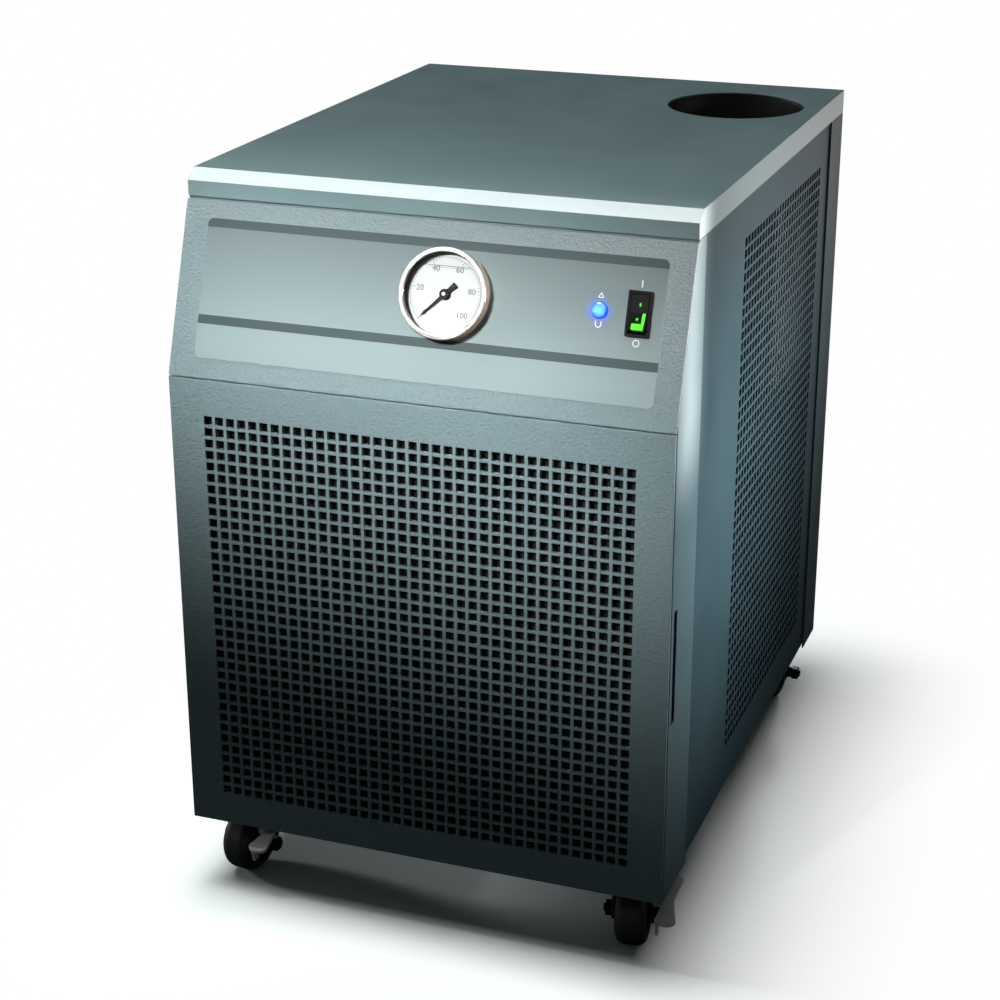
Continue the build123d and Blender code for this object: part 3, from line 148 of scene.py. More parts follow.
def newMaterial(name, shaderValues):
    material = bpy.data.materials.new(name)
    material.use_nodes = True
    tree = material.node_tree
    shader = tree.nodes["Principled BSDF"]
    for key, value in shaderValues.items():
        shader.inputs[key].default_value = value
    place = addNode(tree, "ShaderNodeTexCoord").outputs["Object"]
    return material, tree, shader, place


# Rounded paint at the folds and edges, which catches the light
def softEdges(tree, radius=0.0009):
    return addNode(tree, "ShaderNodeBevel", {"samples": 4, "Radius": radius}).outputs["Normal"]


# A surface with a grain, a slow drift of tone and a faint change of gloss over it.
# grainMm is the real grain width; patchMm is the width of the slow patches.
def grainedMaterial(name, look):
    material, tree, shader, place = newMaterial(name, look["shader"])
    stretched = addNode(
        tree, "ShaderNodeMapping", {"Scale": look.get("stretch", (1.0, 1.0, 1.0))}, {"Vector": place}
    ).outputs["Vector"]
    grain = noise(tree, stretched, look["grainMm"], detail=3.0, roughness=0.6)
    patches = noise(tree, place, look["patchMm"])
    tone = maths(tree, "MULTIPLY_ADD", grain, look.get("grainTone", 0.25), patches)
    tree.links.new(twoTone(tree, tone, look["colours"], (0.35, 0.85)), shader.inputs["Base Color"])
    tree.links.new(mapped(tree, patches, toRange=look["roughness"]), shader.inputs["Roughness"])
    normal = softEdges(tree) if look.get("softEdges") else None
    bumpShader(tree, shader, grain, look["bump"], look["grainMm"] / 2000, normal)
    return material


looks = {
    # Powder coat over the lid: satin, with a fine orange peel that softens its reflections
    "satinPowderCoatLid": {
        "shader": {"Specular IOR Level": 0.35, "Coat Weight": 0.55, "Coat Roughness": 0.14},
        "colours": ("#738c8f", "#7e979a"),
        "roughness": (0.36, 0.44),
        "grainMm": 0.9,
        "patchMm": 60.0,
        "bump": 0.06,
        "softEdges": True,
    },
    # The same coat in blue-grey on the frame's cheeks and the rear panel
    "satinPowderCoatFrame": {
        "shader": {"Specular IOR Level": 0.25},
        "colours": ("#50656c", "#596e75"),
        "roughness": (0.40, 0.48),
        "grainMm": 0.8,
        "patchMm": 70.0,
        "bump": 0.06,
        "softEdges": True,
    },
    # Darker coat on the perforated side sheets
    "satinPowderCoatSide": {
        "shader": {"Specular IOR Level": 0.25},
        "colours": ("#344a52", "#3c535b"),
        "roughness": (0.42, 0.5),
        "grainMm": 0.8,
        "patchMm": 60.0,
        "bump": 0.06,
        "softEdges": True,
    },
    # Zinc-plated folded sheet: bright and slightly cloudy
    "zincPlatedSheet": {
        "shader": {"Metallic": 1.0},
        "colours": ("#8b8f90", "#a4a8a8"),
        "roughness": (0.32, 0.45),
        "grainMm": 6.0,
        "patchMm": 25.0,
        "bump": 0.05,
    },
    # Stainless steel turned on a lathe, warm and bright
    "turnedStainless": {
        "shader": {"Metallic": 0.75},
        "colours": ("#8b8a83", "#a09f97"),
        "roughness": (0.16, 0.24),
        "grainMm": 0.4,
        "patchMm": 12.0,
        "bump": 0.03,
    },
    # Pale grey lacquer inside the gauge case
    "greyCaseLacquer": {
        "shader": {"IOR": 1.5, "Specular IOR Level": 0.3},
        "colours": ("#bcc2c1", "#cdd2d1"),
        "roughness": (0.4, 0.5),
        "grainMm": 0.4,
        "patchMm": 10.0,
        "bump": 0.03,
    },
    # Injection-moulded black ABS with a fine spark-eroded texture
    "mouldedBlackAbs": {
        "shader": {"IOR": 1.5},
        "colours": ("#101112", "#17191a"),
        "roughness": (0.42, 0.55),
        "grainMm": 0.5,
        "patchMm": 18.0,
        "bump": 0.12,
    },
    # Ivory plastic of the pointer's pivot
    "ivoryPivot": {
        "shader": {"IOR": 1.5, "Specular IOR Level": 0.3},
        "colours": ("#e9ebe2", "#f3f4ee"),
        "roughness": (0.35, 0.45),
        "grainMm": 0.3,
        "patchMm": 3.0,
        "bump": 0.02,
    },
    # Dark edge of the damping liquid in the gauge
    "greyLiquidEdge": {
        "shader": {"IOR": 1.47, "Specular IOR Level": 0.2},
        "colours": ("#6f7877", "#7c8584"),
        "roughness": (0.3, 0.4),
        "grainMm": 0.3,
        "patchMm": 6.0,
        "bump": 0.02,
    },
    # Matt black nylon of the switch housing, darker than the other mouldings
    "mattBlackNylon": {
        "shader": {"IOR": 1.5, "Specular IOR Level": 0.08},
        "colours": ("#050606", "#090a0a"),
        "roughness": (0.5, 0.6),
        "grainMm": 0.5,
        "patchMm": 18.0,
        "bump": 0.08,
    },
    # Solid black rubber tyre with scuffs picked up from the floor
    "solidRubberTyre": {
        "shader": {"IOR": 1.52},
        "colours": ("#0c0c0d", "#1c1c1d"),
        "roughness": (0.55, 0.75),
        "grainMm": 0.7,
        "patchMm": 9.0,
        "bump": 0.2,
    },
    # Light grey moulded nylon pedal, slightly dusty
    "mouldedGreyNylon": {
        "shader": {"IOR": 1.53},
        "colours": ("#dadedd", "#eceeed"),
        "roughness": (0.38, 0.5),
        "grainMm": 0.6,
        "patchMm": 8.0,
        "bump": 0.1,
    },
    # Zinc-plated pressings of the caster forks and plates
    "zincPlatedPressing": {
        "shader": {"Metallic": 1.0},
        "colours": ("#4a4c4e", "#6a6c6e"),
        "roughness": (0.3, 0.45),
        "grainMm": 1.5,
        "patchMm": 10.0,
        "bump": 0.08,
    },
    # Black-oxide steel of the axle bolts
    "blackenedSteel": {
        "shader": {"Metallic": 1.0},
        "colours": ("#1b1b1c", "#2b2b2c"),
        "roughness": (0.35, 0.5),
        "grainMm": 0.6,
        "patchMm": 5.0,
        "bump": 0.08,
    },
    # Zinc-plated screw heads
    "zincPlatedScrew": {
        "shader": {"Metallic": 1.0},
        "colours": ("#7d7f80", "#9a9c9c"),
        "roughness": (0.25, 0.38),
        "grainMm": 0.5,
        "patchMm": 3.0,
        "bump": 0.05,
    },
    # Open-cell foam of the air filter: matt black with visible cells
    "openCellFoam": {
        "shader": {"IOR": 1.4},
        "colours": ("#08090a", "#1a1c1d"),
        "roughness": (0.85, 0.95),
        "grainMm": 1.8,
        "patchMm": 30.0,
        "bump": 0.6,
        "grainTone": 0.8,
    },
    # Aluminium fins and header tubes
    "drawnAluminium": {
        "shader": {"Metallic": 1.0},
        "colours": ("#8f9394", "#b1b4b4"),
        "roughness": (0.3, 0.42),
        "grainMm": 0.8,
        "patchMm": 30.0,
        "bump": 0.05,
        "stretch": (1.0, 1.0, 0.05),
    },
    # Baked black enamel on the compressor and the motors
    "bakedBlackEnamel": {
        "shader": {"IOR": 1.5, "Coat Weight": 0.4, "Coat Roughness": 0.12},
        "colours": ("#0d0e0f", "#161819"),
        "roughness": (0.25, 0.35),
        "grainMm": 1.4,
        "patchMm": 40.0,
        "bump": 0.08,
    },
    # Machined brass fittings, a little tarnished
    "machinedBrass": {
        "shader": {"Metallic": 1.0},
        "colours": ("#ad9462", "#bfa673"),
        "roughness": (0.22, 0.34),
        "grainMm": 0.5,
        "patchMm": 8.0,
        "bump": 0.05,
    },
    # Drawn copper tube, browned unevenly by handling and brazing
    "drawnCopper": {
        "shader": {"Metallic": 1.0},
        "colours": ("#8a5236", "#c07a52"),
        "roughness": (0.25, 0.4),
        "grainMm": 0.7,
        "patchMm": 35.0,
        "bump": 0.05,
    },
    # Pressed stainless plates, brazed in a stack
    "brazedStainless": {
        "shader": {"Metallic": 1.0},
        "colours": ("#8d9091", "#a9acac"),
        "roughness": (0.3, 0.42),
        "grainMm": 0.5,
        "patchMm": 20.0,
        "bump": 0.05,
    },
    # Natural blow-moulded polyethylene of the tank: milky and waxy
    "blowMouldedPolyethylene": {
        "shader": {"IOR": 1.51, "Subsurface Weight": 0.3, "Subsurface Radius": (0.006, 0.006, 0.005)},
        "colours": ("#c9c9bf", "#dcdcd3"),
        "roughness": (0.4, 0.5),
        "grainMm": 4.0,
        "patchMm": 50.0,
        "bump": 0.05,
    },
    # Grey moulded polycarbonate of the control box
    "mouldedPolycarbonate": {
        "shader": {"IOR": 1.58},
        "colours": ("#5f6363", "#6b6f6f"),
        "roughness": (0.4, 0.5),
        "grainMm": 0.6,
        "patchMm": 25.0,
        "bump": 0.1,
    },
    # Braided rubber hose: matt black with a faint weave
    "braidedRubberHose": {
        "shader": {"IOR": 1.52},
        "colours": ("#0f1011", "#202224"),
        "roughness": (0.6, 0.75),
        "grainMm": 1.6,
        "patchMm": 20.0,
        "bump": 0.3,
        "grainTone": 0.6,
    },
    # Black lacquer of the pointer
    "blackLacquer": {
        "shader": {"IOR": 1.5, "Specular IOR Level": 0.1},
        "colours": ("#060606", "#0c0c0c"),
        "roughness": (0.35, 0.45),
        "grainMm": 0.3,
        "patchMm": 4.0,
        "bump": 0.03,
    },
    # Screen-printed ink of the dial figures and the marks beside the switch
    "screenPrintedInk": {
        "shader": {"IOR": 1.5},
        "colours": ("#3b4042", "#474c4e"),
        "roughness": (0.5, 0.6),
        "grainMm": 0.3,
        "patchMm": 3.0,
        "bump": 0.03,
    },
    # White ink of the small marks on the overlay
    "whitePrintedInk": {
        "shader": {"IOR": 1.5},
        "colours": ("#d4dadb", "#e6eaea"),
        "roughness": (0.45, 0.55),
        "grainMm": 0.3,
        "patchMm": 3.0,
        "bump": 0.03,
    },
}
finishes = {name: grainedMaterial(name, look) for name, look in looks.items()}


# Powder coat with a leather grain: pebbles about 1.7 mm across, glossier on top than in the
# creases between them, and paler on top, a painted shade in the creases
grainPaint = {
    "pebbleMm": 1.7,
    "fineMm": 0.45,
    "wanderScale": 600.0,
    "wander": 0.0012,  # how far the pebbles' outlines stray, in metres
    "depth": 0.0016,
    "pebble": ("#798e92", "#81969a"),
    # The fascia's tones are lighter than the grille's though it is the same paint, painted light where its slope faces
    # the light above
    "fasciaPaintedLightPebble": ("#8ca1a5", "#95aaae"),
    "toneStops": (0.1, 0.75),
    "roughness": (0.34, 0.56),
}


def leatherGrainPaint(name, pebbleAndCreaseShadeTones, relief):
    material, tree, shader, place = newMaterial(name, {"Specular IOR Level": 0.15})
    wander = addNode(
        tree, "ShaderNodeTexNoise", {"Scale": grainPaint["wanderScale"], "Detail": 2.0}, {"Vector": place}
    ).outputs["Color"]
    bent = vectorMaths(tree, "MULTIPLY_ADD", wander, (grainPaint["wander"],) * 3, place)
    pebbles = addNode(
        tree, "ShaderNodeTexVoronoi", {"Scale": 1000 / grainPaint["pebbleMm"], "feature": "SMOOTH_F1"}, {"Vector": bent}
    ).outputs["Distance"]
    fine = noise(tree, place, grainPaint["fineMm"], detail=3.0)
    height = maths(tree, "MULTIPLY_ADD", pebbles, -1.0, fine)
    # Paler pebble tops and darker creases: painted shade in the creases
    tree.links.new(twoTone(tree, pebbles, pebbleAndCreaseShadeTones[::-1], grainPaint["toneStops"]), shader.inputs["Base Color"])
    tree.links.new(mapped(tree, pebbles, toRange=grainPaint["roughness"]), shader.inputs["Roughness"])
    bumpShader(tree, shader, height, relief, grainPaint["depth"], softEdges(tree))
    return material


finishes["leatherGrainPowderCoat"] = leatherGrainPaint("leatherGrainPowderCoat", grainPaint["pebble"], 0.6)
# One paint on the grille and the fascia; the fascia's copy is lighter, painted light on its upward-facing slope
finishes["leatherGrainPaintedLightFascia"] = leatherGrainPaint("leatherGrainPaintedLightFascia", grainPaint["fasciaPaintedLightPebble"], 1.0)


# A round spot about one point on the slope: 0 at its centre and 1 from its radius outwards
def spotFactor(tree, place, centre, radius):
    away = vectorMaths(tree, "DISTANCE", place, slopePlace @ Vector(centre))
    return mapped(tree, away, (0.0, radius))


# Height above the crease, measured up the slope
def slopeHeight(tree, place):
    upSlope = (0.0, math.sin(slopeAngle), math.cos(slopeAngle))
    origin = Vector((0.0, cabinet["frontY"], cabinet["creaseZ"]))
    along = vectorMaths(tree, "DOT_PRODUCT", place, upSlope)
    return maths(tree, "SUBTRACT", along, origin.dot(Vector(upSlope)))


# 1 within half of middle, falling to 0 over soft
def nearLine(tree, value, middle, half, soft):
    away = maths(tree, "ABSOLUTE", maths(tree, "SUBTRACT", value, middle))
    return mapped(tree, away, (half + soft, half))


# Printed polyester film: light grey with a dark band along its top and one below the middle.
# The light grey darkens up the slope, a painted shade, and the violet-blue bloom that the lamp
# throws on the film round it is painted into its colour
overlay = {
    "bands": ((0.0383, 0.0446), (0.1056, 0.1120)),  # heights up the slope, in metres
    "bandEdge": (0.3, 0.7),
    "paintedShade": (0.03, 0.11),  # heights between which the light grey darkens, a painted shade towards the top
    "light": "#7f9091",
    "upperPaintedShadeTone": "#606f71",
    "dark": "#344446",
    "bloomAt": (0.1230, 0.0742, 0.001),
    "bloomRadius": 0.0105,
    "bloomFull": 0.45,  # share of the radius inside which the bloom is at its strongest
    "bloomStrength": 0.55,
    "bloomColour": "#5f78e8",
    "hazeMm": 0.6,
    "roughness": (0.38, 0.5),
}


def printedFilm(name):
    material, tree, shader, place = newMaterial(name, {"Specular IOR Level": 0.12})
    height = slopeHeight(tree, place)
    inBand = largest(
        tree, [maths(tree, "COMPARE", height, (low + high) / 2, (high - low) / 2) for low, high in overlay["bands"]]
    )
    # Painted shade: the light grey darkens towards the top of the film
    paintedShade = mapped(tree, height, overlay["paintedShade"])
    light = twoTone(tree, paintedShade, (overlay["light"], overlay["upperPaintedShadeTone"]))
    colour = blended(tree, mapped(tree, inBand, overlay["bandEdge"]), light, toLinear(overlay["dark"]))
    bloom = spotFactor(tree, place, overlay["bloomAt"], overlay["bloomRadius"])
    bloom = mapped(tree, bloom, (1.0, overlay["bloomFull"]), (0.0, overlay["bloomStrength"]))
    colour = blended(tree, bloom, colour, toLinear(overlay["bloomColour"]))
    tree.links.new(colour, shader.inputs["Base Color"])
    haze = noise(tree, place, overlay["hazeMm"])
    tree.links.new(mapped(tree, haze, toRange=overlay["roughness"]), shader.inputs["Roughness"])
    bumpShader(tree, shader, haze, 0.05, 0.0002)
    return material


# White lacquered dial, a little greyer towards its edge
def lacqueredDial(name):
    material, tree, shader, place = newMaterial(name, {"IOR": 1.5, "Coat Weight": 0.3, "Coat Roughness": 0.2})
    fromCentre = spotFactor(tree, place, (controls["gaugeX"], controls["gaugeUp"], 0.003), 0.0285)
    tree.links.new(twoTone(tree, fromCentre, ("#d3d9d8", "#c4cac9")), shader.inputs["Base Color"])
    speck = noise(tree, place, 0.5)
    tree.links.new(mapped(tree, speck, toRange=(0.4, 0.55)), shader.inputs["Roughness"])
    return material


# Blue lens with a lamp behind it: bright sky blue in the middle, deep blue at the rim
def litLens(name):
    material, tree, shader, place = newMaterial(
        name, {"IOR": 1.49, "Roughness": 0.15, "Emission Strength": 0.85, "Coat Weight": 0.3}
    )
    fromCentre = spotFactor(tree, place, (controls["lampX"], controls["lampUp"], 0.001), 0.0062)
    ramp = twoTone(tree, fromCentre, ("#1fa6ee", "#0a28f0"), (0.35, 0.95))
    tree.links.new(ramp, shader.inputs["Base Color"])
    tree.links.new(ramp, shader.inputs["Emission Color"])
    prisms = addNode(tree, "ShaderNodeTexVoronoi", {"Scale": 1000 / 1.2}, {"Vector": place}).outputs["Distance"]
    bumpShader(tree, shader, prisms, 0.2, 0.0003)
    return material


# Gauge glass: clear and thin, so it is mostly an even reflection over the dial
def clearPane(name):
    material, tree, shader, place = newMaterial(
        name, {"Base Color": toLinear("#101414"), "IOR": 1.45, "Alpha": 0.07}
    )
    smear = noise(tree, place, 9.0, detail=3.0)
    tree.links.new(mapped(tree, smear, toRange=(0.02, 0.09)), shader.inputs["Roughness"])
    return material


# Rocker: black plastic with a green light pipe that glows in an L at its lower end
rocker = {
    "foot": {"x": 0.0006, "halfWidth": 0.0036, "up": 0.0660, "halfHeight": 0.0018},
    "bar": {"x": 0.0038, "halfWidth": 0.0006, "up": 0.0712, "halfHeight": 0.0036},
    "dot": {"x": -0.0004, "halfWidth": 0.0003, "up": 0.0712, "halfHeight": 0.0003},
    "stroke": {"x": 0.0004, "halfWidth": 0.0001, "up": 0.0808, "halfHeight": 0.0007},
    "softness": 0.0007,
    "glow": "#4fdc2e",
    "body": "#050606",
}


def litRocker(name):
    material, tree, shader, place = newMaterial(
        name, {"IOR": 1.5, "Roughness": 0.45, "Specular IOR Level": 0.05, "Emission Strength": 0.75}
    )
    across = addNode(tree, "ShaderNodeSeparateXYZ", links={0: place}).outputs["X"]
    height = slopeHeight(tree, place)
    glows = []
    for key in ("foot", "bar", "dot", "stroke"):
        shape = rocker[key]
        wide = nearLine(tree, across, controls["switchX"] + shape["x"], shape["halfWidth"], rocker["softness"])
        tall = nearLine(tree, height, shape["up"], shape["halfHeight"], rocker["softness"])
        glows.append(maths(tree, "MULTIPLY", wide, tall))
    lit = largest(tree, glows)
    tree.links.new(twoTone(tree, lit, (rocker["body"], rocker["glow"])), shader.inputs["Base Color"])
    tree.links.new(twoTone(tree, lit, ("#000000", rocker["glow"])), shader.inputs["Emission Color"])
    bumpShader(tree, shader, noise(tree, place, 0.6), 0.05, 0.0002)
    return material


finishes["printedPolyesterFilm"] = printedFilm("printedPolyesterFilm")
finishes["litRocker"] = litRocker("litRocker")
finishes["lacqueredDial"] = lacqueredDial("lacqueredDial")
finishes["litBlueLens"] = litLens("litBlueLens")
finishes["clearGaugeGlass"] = clearPane("clearGaugeGlass")
print("finishes made:", len(finishes))

# Which solid takes which finish
nodeFinishes = {
    "satinPowderCoatLid": ("top_cover",),
    "satinPowderCoatFrame": ("front_frame", "rear_panel"),
    "leatherGrainPaintedLightFascia": ("fascia",),
    "printedPolyesterFilm": ("control_overlay",),
    "zincPlatedSheet": ("base_pan", "corner_posts", "component_shelf", "gauge_clamp"),
    "turnedStainless": ("gauge_bezel",),
    "greyCaseLacquer": ("gauge_case",),
    "lacqueredDial": ("gauge_dial",),
    "clearGaugeGlass": ("gauge_window",),
    "blackLacquer": ("gauge_pointer",),
    "litBlueLens": ("warning_lamp",),
    "litRocker": ("switch_rocker",),
    "mattBlackNylon": ("switch_housing",),
    "mouldedBlackAbs": (
        "lamp_holder",
        "fan_shroud",
        "fan",
        "fill_well",
        "filler_cap",
        "grille_catches",
        "power_inlet",
    ),
    "openCellFoam": ("air_filter",),
    "drawnAluminium": ("condenser",),
    "bakedBlackEnamel": ("compressor", "fan_motor", "pump_motor"),
    "braidedRubberHose": ("coolant_hoses", "compressor_grommets"),
    "machinedBrass": ("pump_head", "supply_port", "return_port", "drain_plug"),
    "brazedStainless": ("plate_exchanger",),
    "drawnCopper": ("refrigerant_lines", "filter_drier"),
    "mouldedPolycarbonate": ("control_box",),
    "blowMouldedPolyethylene": ("reservoir",),
    "zincPlatedScrew": ("rear_screws",),
    "zincPlatedPressing": ("caster_plates", "fork_front_left", "fork_front_right", "fork_rear_left", "fork_rear_right"),
    "solidRubberTyre": ("wheel_front_left", "wheel_front_right", "wheel_rear_left", "wheel_rear_right"),
    "blackenedSteel": (
        "axle_bolt_front_left",
        "axle_bolt_front_right",
        "axle_bolt_rear_left",
        "axle_bolt_rear_right",
    ),
    "mouldedGreyNylon": ("brake_pedal_front_left", "brake_pedal_front_right"),
}
for finish, names in nodeFinishes.items():
    for name in names:
        solid = nodes[name]
        if not solid.material_slots:
            solid.data.materials.append(None)
        for slot in solid.material_slots:
            slot.material = finishes[finish]


def meshObject(bm, name, material):
    mesh = bpy.data.meshes.new(name)
    bm.to_mesh(mesh)
    bm.free()
    made = bpy.data.objects.new(name, mesh)
    bpy.context.scene.collection.objects.link(made)
    made.data.materials.append(material)
    return made


def finishPiece(bm, name, body, finish, replaced=()):
    piece = meshObject(bm, name, finishes[finish])
    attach(piece, body)
    if replaced:
        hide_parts(*replaced)
    return piece


# A punched sheet: a grid whose lines lie on the holes' sides, with the hole faces removed,
# thickened, and with the edges at the heights in "rounded" rolled over
def punchedSheet(sheet):
    pitch, side = cabinet["holePitch"], cabinet["holeSide"]
    lines = []
    for length, count, first in (
        (sheet["width"], sheet["columns"], sheet["firstAcross"]),
        (sheet["height"], sheet["rows"], sheet["firstUp"]),
    ):
        cuts = [0.0]
        for hole in range(count):
            cuts += [first + hole * pitch, first + hole * pitch + side]
        lines.append(cuts + [length])
    across, up = lines
    bm = bmesh.new()
    bmesh.ops.create_grid(bm, x_segments=len(across) - 1, y_segments=len(up) - 1, size=1.0)
    for vert in bm.verts:
        i = round((vert.co.x + 1) / 2 * (len(across) - 1))
        j = round((vert.co.y + 1) / 2 * (len(up) - 1))
        vert.co = (across[i], up[j], 0.0)
    columnOf = {round((across[i] + across[i + 1]) / 2, 6): i for i in range(len(across) - 1)}
    rowOf = {round((up[j] + up[j + 1]) / 2, 6): j for j in range(len(up) - 1)}
    holes = []
    for face in bm.faces:
        middle = face.calc_center_bounds()
        i, j = columnOf[round(middle.x, 6)], rowOf[round(middle.y, 6)]
        if i % 2 == 1 and j % 2 == 1:
            holes.append(face)
    bmesh.ops.delete(bm, geom=holes, context="FACES")
    bmesh.ops.solidify(bm, geom=bm.faces[:], thickness=sheet["thickness"])
    front = max(vert.co.z for vert in bm.verts)
    for edgeHeight in sheet["rounded"]:
        rim = [
            edge
            for edge in bm.edges
            if all(abs(v.co.y - edgeHeight) < 1e-6 and abs(v.co.z - front) < 1e-6 for v in edge.verts)
        ]
        bmesh.ops.bevel(
            bm, geom=rim, offset=sheet["edgeRadius"], segments=3, profile=0.5, affect="EDGES", material=-1
        )
    bm.transform(sheet["place"])
    bmesh.ops.recalc_face_normals(bm, faces=bm.faces[:])
    return bm


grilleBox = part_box("grille_panel")
grilleSheet = {
    "width": 2 * cabinet["halfWidth"],
    "height": grilleBox[1][2] - grilleBox[0][2],
    "thickness": 0.002,
    "columns": 37,
    "rows": 35,
    "firstUp": 0.0249,
    "edgeRadius": 0.0006,
    "place": Matrix.Translation((-cabinet["halfWidth"], cabinet["frontY"], cabinet["skirtZ"]))
    @ Matrix.Rotation(math.radians(90), 4, "X"),
}
punchedWidth = (grilleSheet["columns"] - 1) * cabinet["holePitch"] + cabinet["holeSide"]
grilleSheet["firstAcross"] = cabinet["halfWidth"] - punchedWidth / 2
grilleSheet["rounded"] = (grilleSheet["height"],)
frontGrille = punchedSheet(grilleSheet)
lowest = min(v.co.y for v in frontGrille.verts)
bmesh.ops.translate(frontGrille, vec=(0, cabinet["frontY"] - lowest, 0), verts=frontGrille.verts[:])
finishPiece(frontGrille, "frontGrille", "grille", "leatherGrainPowderCoat", ("grille_panel",))


def turnedCone(bm, radius, tipShare, depth, segments, place):
    bmesh.ops.create_cone(
        bm,
        cap_ends=True,
        segments=segments,
        radius1=radius,
        radius2=radius * tipShare,
        depth=depth,
        matrix=place,
    )


# Press studs on the grille's back, tapered towards the nose
studs = {"x": 0.176, "z": (0.091, 0.370), "radius": 0.003, "tipShare": 0.7, "length": 0.011}
studY = cabinet["frontY"] + grilleSheet["thickness"] + studs["length"] / 2
bm = bmesh.new()
for x in (-studs["x"], studs["x"]):
    for z in studs["z"]:
        place = Matrix.Translation((x, studY, z)) @ Matrix.Rotation(math.radians(-90), 4, "X")
        turnedCone(bm, studs["radius"], studs["tipShare"], studs["length"], 24, place)
finishPiece(bm, "grilleStuds", "grille", "mouldedBlackAbs")

# First hole of the side sheets, back from the front face and up from the skirt
sideHoles = {"back": 0.1761, "up": 0.0364}
for nodeName, pieceName in (("right_side_panel", "rightSheet"), ("left_side_panel", "leftSheet")):
    low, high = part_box(nodeName)
    sideSheet = {
        "width": high[1] - low[1],
        "height": high[2] - low[2],
        "thickness": 0.0012,
        "columns": 29,
        "rows": 47,
        "firstAcross": cabinet["frontY"] + sideHoles["back"] - low[1],
        "firstUp": cabinet["skirtZ"] + sideHoles["up"] - low[2],
        "rounded": (),
        "place": Matrix.Translation((low[0], low[1], low[2]))
        @ Matrix.Rotation(math.radians(90), 4, "Z")
        @ Matrix.Rotation(math.radians(90), 4, "X"),
    }
    bm = punchedSheet(sideSheet)
    nearest = min(v.co.x for v in bm.verts)
    bmesh.ops.translate(bm, vec=(low[0] - nearest, 0, 0), verts=bm.verts[:])
    finishPiece(bm, pieceName, "cabinet", "satinPowderCoatSide", (nodeName,))
print("punched sheets made")

# Printed marks are a twenty-fifth of a millimetre thick
ink = {"thickness": 0.00004, "letterHalf": 0.00002}


def lettered(body, size, x, up):
    curve = bpy.data.curves.new("letters", "FONT")
    curve.body = body
    curve.size = size
    curve.align_x = "CENTER"
    curve.align_y = "CENTER"
    curve.extrude = ink["letterHalf"]
    holder = bpy.data.objects.new("letters", curve)
    bpy.context.scene.collection.objects.link(holder)
    bpy.context.view_layer.update()
    mesh = bpy.data.meshes.new_from_object(holder.evaluated_get(bpy.context.evaluated_depsgraph_get()))
    bpy.data.objects.remove(holder)
    bm = bmesh.new()
    bm.from_mesh(mesh)
    bpy.data.meshes.remove(mesh)
    bm.transform(Matrix.Translation((x, up, 0)))
    return bm


def bar(bm, width, height, x, up, turn=0.0):
    bmesh.ops.create_cube(
        bm,
        size=1.0,
        matrix=Matrix.Translation((x, up, 0))
        @ Matrix.Rotation(turn, 4, "Z")
        @ Matrix.Diagonal((width, height, ink["thickness"], 1)),
    )


def joined(target, other):
    mesh = bpy.data.meshes.new("part")
    other.to_mesh(mesh)
    other.free()
    target.from_mesh(mesh)
    bpy.data.meshes.remove(mesh)


# A flat ring or arc, from start to end in degrees
def ringMark(bm, radius, width, x, up, start=0.0, end=360.0, steps=40):
    inner, outer = radius - width / 2, radius + width / 2
    first = [bm.verts.new((inner, 0, 0)), bm.verts.new((outer, 0, 0))]
    edge = bm.edges.new(first)
    place = Matrix.Translation((x, up, 0)) @ Matrix.Rotation(math.radians(start), 4, "Z")
    spun = bmesh.ops.spin(
        bm,
        geom=first + [edge],
        cent=(0, 0, 0),
        axis=(0, 0, 1),
        angle=math.radians(end - start),
        steps=steps,
        use_merge=end - start >= 360.0,
    )
    reached = set(first) | {item for item in spun["geom_last"] if isinstance(item, bmesh.types.BMVert)}
    queue = list(reached)
    while queue:
        vert = queue.pop()
        for link in vert.link_edges:
            other = link.other_vert(vert)
            if other not in reached:
                reached.add(other)
                queue.append(other)
    bmesh.ops.transform(bm, matrix=place, verts=list(reached))


gauge = {
    "dialTop": 0.00284,  # just above the dial's face
    "zero": 225.0,
    "sweep": 270.0,
    "ticks": 50,
    "ticksPerFigure": 10,
    "tickOuter": 0.0250,
    "tickLong": 0.0030,
    "tickShort": 0.0016,
    "tickWide": 0.00035,
    "tickNarrow": 0.0002,
    "figures": 5,
    "figureStep": 20,
    "figureRadius": 0.0188,
    "figureSize": 0.0056,
}
gaugeX, gaugeUp = controls["gaugeX"], controls["gaugeUp"]
onDial = slopePlace @ Matrix.Translation((0, 0, gauge["dialTop"]))
ticks = bmesh.new()
for step in range(gauge["ticks"] + 1):
    angle = math.radians(gauge["zero"] - gauge["sweep"] * step / gauge["ticks"])
    major = step % gauge["ticksPerFigure"] == 0
    length = gauge["tickLong"] if major else gauge["tickShort"]
    width = gauge["tickWide"] if major else gauge["tickNarrow"]
    reach = gauge["tickOuter"] - length / 2
    bar(ticks, length, width, gaugeX + reach * math.cos(angle), gaugeUp + reach * math.sin(angle), angle)
scaleStart = gauge["zero"] - gauge["sweep"]
ringMark(ticks, gauge["tickOuter"], gauge["tickNarrow"], gaugeX, gaugeUp, scaleStart, gauge["zero"], 72)
ticks.transform(onDial)
finishPiece(ticks, "dialTicks", "cabinet", "screenPrintedInk")
figures = bmesh.new()
for step in range(gauge["figures"] + 1):
    angle = math.radians(gauge["zero"] - gauge["sweep"] * step / gauge["figures"])
    figureX = gaugeX + gauge["figureRadius"] * math.cos(angle)
    figureUp = gaugeUp + gauge["figureRadius"] * math.sin(angle)
    joined(figures, lettered(str(step * gauge["figureStep"]), gauge["figureSize"], figureX, figureUp))
figures.transform(onDial)
finishPiece(figures, "dialFigures", "cabinet", "screenPrintedInk")

